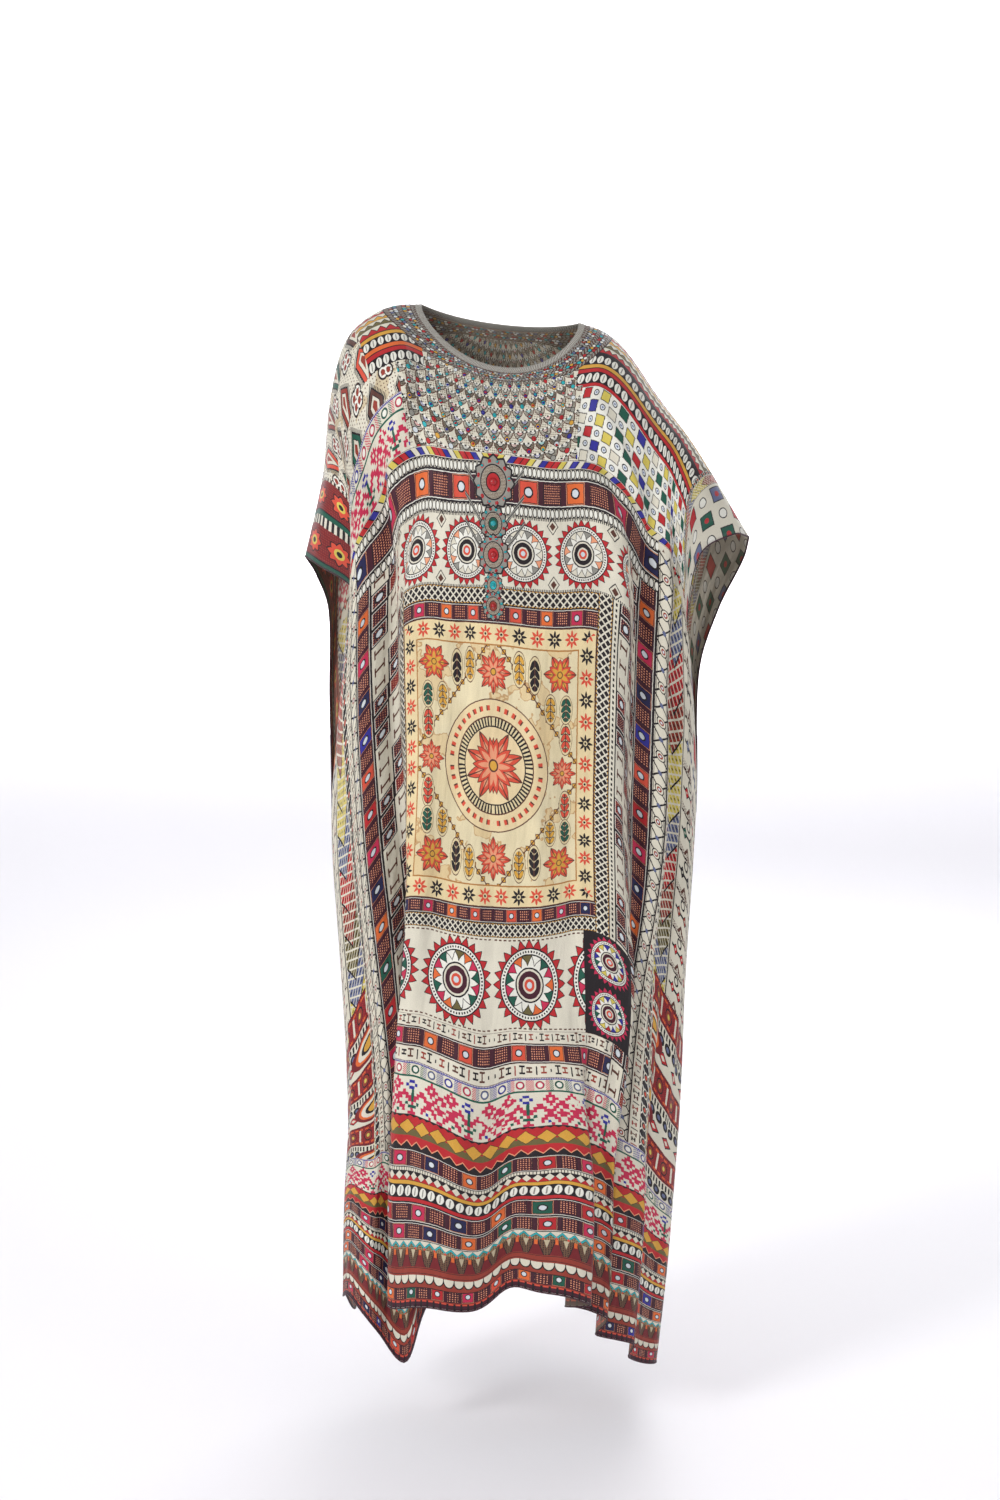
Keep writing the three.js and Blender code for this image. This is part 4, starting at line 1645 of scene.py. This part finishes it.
def thickened(piece):
    """Gives a piece of cloth its thickness, and marks its inner side for the paler reverse."""
    inner_count = len(piece.data.vertices)
    shell = piece.modifiers.new("shell", "SOLIDIFY")
    shell.thickness = SHELL * MM
    shell.offset = 0
    thick = bpy.data.meshes.new_from_object(piece.evaluated_get(bpy.context.evaluated_depsgraph_get()))
    piece.modifiers.clear()
    piece.data = thick
    reverse = thick.attributes.new("reverse", "FLOAT", "POINT")
    is_inner = np.arange(len(thick.vertices)) < inner_count
    reverse.data.foreach_set("value", is_inner.astype(np.float32))
    return piece


def cloth_piece(name, panel, regions):
    """A panel's shell of cloth, with each cell in its print and its place in the print on its UV maps."""
    bm = placed_grid(panel.points)
    if panel.side == "front":
        bmesh.ops.reverse_faces(bm, faces=bm.faces[:])
    columns = len(panel.x)
    numbers = region_numbers(panel, regions)
    around, from_neck = neck_places(panel)
    prints = []
    cut_map, band_map, neck_map = (bm.loops.layers.uv.new(name) for name in ("cut", "band", "neck"))
    for face in bm.faces:
        corners = [loop.vert.index for loop in face.loops]
        region = regions[numbers[divmod(min(corners), columns)]]
        if region.print not in prints:
            prints.append(region.print)
        face.material_index = prints.index(region.print)
        for loop, corner in zip(face.loops, corners):
            row, column = divmod(corner, columns)
            x, depth = panel.x[column], panel.print_depth[row, column]
            loop[cut_map].uv = (x * MM, depth * MM)
            loop[band_map].uv = band_place(region, x, depth)
            loop[neck_map].uv = (around[row, column], from_neck[row, column])
    piece = own_piece(bm, name)
    for print_name in prints:
        piece.data.materials.append(print_material(print_name))
    return thickened(piece)


# The trims, in mm
BAND_WIDTH = 9  # the neck binding
BAND_THICK = 2.4
BAND_STATIONS = 88  # round each half of the neck
BAND_CORNERS = 16  # round the binding's section
NORMAL_ROUNDS = 6  # how often the binding's outward directions are evened out at the neck's corners
BELOW_NECK = 2  # how far below the neck's edge the cloth is taken for its direction
ROLL_WIDTH = 2.4  # the rolled hems
ROLL_THICK = 2.2
ROLL_CORNERS = 8
STUD_LIFT = 0.6  # how far a stone's middle lies outside the middle of the cloth
STUD_HEIGHT = 0.6  # its height to its width
BEAD_ROWS = (4, 8.5, 13)  # distances from the neck's edge
BEADS_PER_ROW = 74
BEAD_RADIUS = 1.2
BEADS_TURN = 1.45  # how far the beads run to each side of the neck's middle, as an angle
STONE_RADIUS = 2.1
SCALLOP_TIERS = 7
STONES_LEFT, STONES_RIGHT = -150, 106  # where the yoke carries stones
STONES_TOP, STONES_BOTTOM = 124, 236
PLATE_STONE_RING = 0.87  # of a pendant plate's radius
PLATE_MIDDLE_STONE = 0.2


def neck_stations(side, first, last):
    """Points and outward directions along one half of the neck's edge, from the first turn to the last."""
    turn = np.linspace(first, last, BAND_STATIONS + 1)[:-1]
    s = NECK_SHARE * np.sin(turn)
    edge = worn(side, s, cloth_depth(side, s, np.zeros_like(s)))
    below = worn(side, s, cloth_depth(side, s, np.full_like(s, BELOW_NECK)))
    return edge, unit(np.cross(below - edge, np.gradient(edge, axis=0)))


def rounded_section(width, thick, corners, power=3.2):
    """Offsets round a rounded bar's section, first and last the same."""
    turn = np.linspace(0, 2 * math.pi, corners + 1)
    c, s = np.cos(turn), np.sin(turn)
    side = np.sign(c) * np.abs(c) ** (2 / power) * width / 2
    up = np.sign(s) * np.abs(s) ** (2 / power) * thick / 2
    return side, up


def bar_along(name, centres, sideways, upwards, section, closed):
    """A bar with a rounded section along a line of points. Its UV map says how far along and round it is."""
    side, up = (offsets[None, :, None] for offsets in section)
    points = centres[:, None] + sideways[:, None] * side + upwards[:, None] * up
    if closed:
        points = np.concatenate([points, points[:1]])
    bm = placed_grid(points * MM)
    band_map = bm.loops.layers.uv.new("band")
    along = np.concatenate([[0], np.cumsum(np.linalg.norm(np.diff(points[:, 0], axis=0), axis=1))]) * MM
    columns = points.shape[1]
    for face in bm.faces:
        for loop in face.loops:
            row, column = divmod(loop.vert.index, columns)
            loop[band_map].uv = (along[row], column / (columns - 1))
    bmesh.ops.remove_doubles(bm, verts=bm.verts[:], dist=1e-6)
    if not closed:
        bmesh.ops.holes_fill(bm, edges=[edge for edge in bm.edges if edge.is_boundary])
    bmesh.ops.recalc_face_normals(bm, faces=bm.faces[:])
    return own_piece(bm, name)


def neck_band():
    """The corded binding inside the neck's edge: across the front from left to right, and back round behind."""
    front_edge, front_normals = neck_stations("front", -math.pi / 2, math.pi / 2)
    back_edge, back_normals = neck_stations("back", math.pi / 2, -math.pi / 2)
    edge = np.concatenate([front_edge, back_edge])
    normals = np.concatenate([front_normals, back_normals])
    for _ in range(NORMAL_ROUNDS):
        normals = unit(np.roll(normals, 1, axis=0) + 2 * normals + np.roll(normals, -1, axis=0))
    along = np.roll(edge, -1, axis=0) - np.roll(edge, 1, axis=0)
    inwards = unit(np.cross(normals, along))
    section = rounded_section(BAND_WIDTH, BAND_THICK, BAND_CORNERS)
    return bar_along("neck_band", edge + inwards * (BAND_WIDTH / 2), inwards, normals, section, True)


def edge_roll(panel, name, edge, inner):
    """The narrow rolled edge of a panel. The grid's points lie at edge on it, and at inner next to it."""
    points = panel.points[edge] / MM
    outwards = unit(points - panel.points[inner] / MM)
    section = rounded_section(ROLL_WIDTH, ROLL_THICK, ROLL_CORNERS)
    return bar_along(f"{panel.side}_{name}", points, outwards, panel.normals[edge], section, False)


def rolled_edges(panel):
    """A panel's rolled hem, and its half of both cuffs from the shoulder line to the side seams."""
    cuff = panel.depth <= CUFF_OPENING
    return [
        edge_roll(panel, "hem", -1, -2),
        edge_roll(panel, "left_cuff", (cuff, 0), (cuff, 1)),
        edge_roll(panel, "right_cuff", (cuff, -1), (cuff, -2)),
    ]


def spot(panel, x, depth):
    """The point and the outward direction of a panel's cloth at a place of the cut, in mm."""
    columns = np.interp(x, panel.x, np.arange(len(panel.x)))
    column = min(int(columns), len(panel.x) - 2)
    part = columns - column
    rows = np.interp(depth, panel.cut_depth[:, column], np.arange(len(panel.depth)))
    row = min(int(rows), len(panel.depth) - 2)
    upper = mix(panel.points[row, column], panel.points[row, column + 1], part)
    lower = mix(panel.points[row + 1, column], panel.points[row + 1, column + 1], part)
    return mix(upper, lower, rows - row), panel.normals[row, column]


def studs(name, panel, places):
    """Small domed stones or beads sewn to a panel, by their places, depths and radii in mm."""
    bm = bmesh.new()
    flattened = Matrix.Diagonal((1, 1, STUD_HEIGHT, 1))
    for x, depth, radius in places:
        point, normal = spot(panel, x, depth)
        turned = Vector(normal).to_track_quat("Z", "Y").to_matrix().to_4x4()
        place = Matrix.Translation(Vector(point) + Vector(normal) * STUD_LIFT * MM) @ turned
        bmesh.ops.create_icosphere(bm, subdivisions=1, radius=radius * MM, matrix=place @ flattened)
    return own_piece(bm, name)


def border_beads(side):
    """Three rows of beads that follow the neck's edge."""
    places = []
    for row, away in enumerate(BEAD_ROWS):
        for i in range(BEADS_PER_ROW):
            turn = mix(-BEADS_TURN, BEADS_TURN, (i + 0.5 * (row % 2)) / BEADS_PER_ROW)
            x = (NECK_HALF_WIDTH + away) * math.sin(turn)
            places.append((x, (NECKS[side]["depth"] + away) * math.cos(turn), BEAD_RADIUS))
    return places


def scallop_stones(key):
    """Stones at the tips of the yoke's scallops, every third one from the key's."""
    places = []
    for tier in range(SCALLOP_TIERS):
        out = SCALLOPS_START + (tier + SCALLOP_TIP) / TIERS_PER_NECK
        for i in range(SCALLOPS_ROUND):
            turn = (i + 0.5 * (tier % 2) + 0.5) / SCALLOPS_ROUND
            angle = (turn - 0.5) * math.tau
            x = NECK_HALF_WIDTH * out * math.cos(angle)
            depth = NECKS["front"]["depth"] * out * math.sin(angle)
            inside = STONES_TOP < depth < STONES_BOTTOM and STONES_LEFT < x < STONES_RIGHT
            if inside and (i + tier) % 3 == key:
                places.append((x, depth, STONE_RADIUS))
    return places


def pendant_stones(key):
    """Stones round the pendant's plates, and a larger one in the middle of every other plate."""
    places = []
    for number, (level, radius, _) in enumerate(PENDANT_ROUNDS):
        level, radius = level / MM, radius / MM
        if number % 2 == key:
            places.append((PRINT_MIDDLE, level, radius * PLATE_MIDDLE_STONE))
        ring = radius * PLATE_STONE_RING
        for i in range(key, PENDANT_STONES, 2):
            angle = math.tau * (i + 0.5) / PENDANT_STONES
            places.append((PRINT_MIDDLE + ring * math.cos(angle), level + ring * math.sin(angle), STONE_RADIUS))
    return places


# The studio, in metres and degrees
CAMERA_DISTANCE = 4
CAMERA_PITCH = 8.53
CAMERA_LENS = 72
CAMERA_SENSOR = 36
KAFTAN_MIDDLE = (0, 0, -0.7)
SOFTBOXES = (
    # name, place, size, power, what it is turned to
    ("key_light", (-2.6, -2.6, 1.2), (1.0, 1.6), 84, KAFTAN_MIDDLE),
    ("fill_light", (2.6, -2.2, 0.1), (1.6, 2.0), 16, KAFTAN_MIDDLE),
    ("back_light", (0.8, 2.8, 1.0), (2.0, 2.0), 40, KAFTAN_MIDDLE),
    ("wall_light", (0, 6.4, 0.4), (7.0, 4.6), 520, (0, 9.2, 0.4)),
)
FLOOR_LEVEL = -1.516
SWEEP_HALF_WIDTH = 9
SWEEP_FRONT = -6
SWEEP_BACK = 6.2
SWEEP_BEND = 3
SWEEP_TOP = 7  # height of the straight wall above the bend


def add_camera():
    camera = bpy.data.cameras.new("camera")
    camera.lens = CAMERA_LENS
    camera.sensor_width = CAMERA_SENSOR
    view = bpy.data.objects.new("camera", camera)
    view.location = (0, -CAMERA_DISTANCE, 0)
    view.rotation_euler = (math.radians(90 - CAMERA_PITCH), 0, 0)
    bpy.context.scene.collection.objects.link(view)
    bpy.context.scene.camera = view


def add_softbox(name, place, size, power, target):
    light = bpy.data.lights.new(name, "AREA")
    light.shape = "RECTANGLE"
    light.size, light.size_y = size
    light.energy = power
    box = bpy.data.objects.new(name, light)
    box.location = place
    box.rotation_euler = (Vector(target) - Vector(place)).to_track_quat("-Z", "Y").to_euler()
    bpy.context.scene.collection.objects.link(box)


def sweep_point(x, share):
    """The seamless backdrop: a floor that bends up into a wall."""
    floor = SWEEP_BACK - SWEEP_FRONT
    bend = SWEEP_BEND * math.pi / 2
    run = share * (floor + bend + SWEEP_TOP)
    if run < floor:
        return (x, SWEEP_FRONT + run, FLOOR_LEVEL)
    angle = min((run - floor) / SWEEP_BEND, math.pi / 2)
    rest = max(0, run - floor - bend)
    y = SWEEP_BACK + SWEEP_BEND * math.sin(angle)
    return (x, y, FLOOR_LEVEL + SWEEP_BEND * (1 - math.cos(angle)) + rest)


def add_backdrop():
    bm = bmesh.new()
    bmesh.ops.create_grid(bm, x_segments=8, y_segments=90, size=1)
    for vert in bm.verts:
        vert.co = sweep_point(vert.co.x * SWEEP_HALF_WIDTH, (vert.co.y + 1) / 2)
    floor = own_piece(bm, "floor")
    material = blank_material("pale_floor")
    shader = material.node_tree.nodes["Principled BSDF"]
    shader.inputs["Base Color"].default_value = (0.9, 0.89, 0.92, 1)
    shader.inputs["Roughness"].default_value = 0.6
    floor.data.materials.append(material)


def add_studio():
    world = bpy.data.worlds.new("studio")
    bpy.context.scene.world = world
    world.use_nodes = True
    background = world.node_tree.nodes["Background"]
    background.inputs["Color"].default_value = (0.95, 0.955, 0.98, 1)
    background.inputs["Strength"].default_value = 0.58
    for softbox in SOFTBOXES:
        add_softbox(*softbox)
    bpy.context.scene.view_settings.view_transform = "Standard"
    add_backdrop()


add_camera()
add_studio()

front = Panel("front", REGIONS["front"])
back = Panel("back", REGIONS["back"])
front_cloth = cloth_piece("front_cloth", front, REGIONS["front"])
back_cloth = cloth_piece("back_cloth", back, REGIONS["back"])
band = neck_band()
band.data.materials.append(binding_material())

edge_material = plain_material("rolled_silk", MAROON, {"Roughness": 0.6, "Sheen Weight": 0.15})
edges = {}
for half in (front, back):
    edges[half.side] = rolled_edges(half)
    for edge in edges[half.side]:
        edge.data.materials.append(edge_material)

bead_material = plain_material("silver_beads", dye(176, 174, 168), {"Roughness": 0.3, "Metallic": 0.5})
jewels = {}
for half in (front, back):
    beads = studs(half.side + "_neck_beads", half, border_beads(half.side))
    beads.data.materials.append(bead_material)
    jewels[half.side] = [beads]
for name, colour, places in (
    ("red_stones", RED, scallop_stones(0) + pendant_stones(0)),
    ("turquoise_stones", TURQUOISE, scallop_stones(1) + pendant_stones(1)),
    ("blue_stones", BLUE, scallop_stones(2)),
):
    stones = studs(name, front, places)
    stones.data.materials.append(plain_material(name, colour, {"Roughness": 0.16}))
    jewels["front"].append(stones)

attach(band, "root")
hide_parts("neck_binding")
for side, cloth, node in (("front", front_cloth, "front_panel"), ("back", back_cloth, "back_panel")):
    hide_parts(node)
    for piece in (cloth, *edges[side]):
        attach(piece, "root")
    for piece in jewels[side]:
        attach(piece, "root")
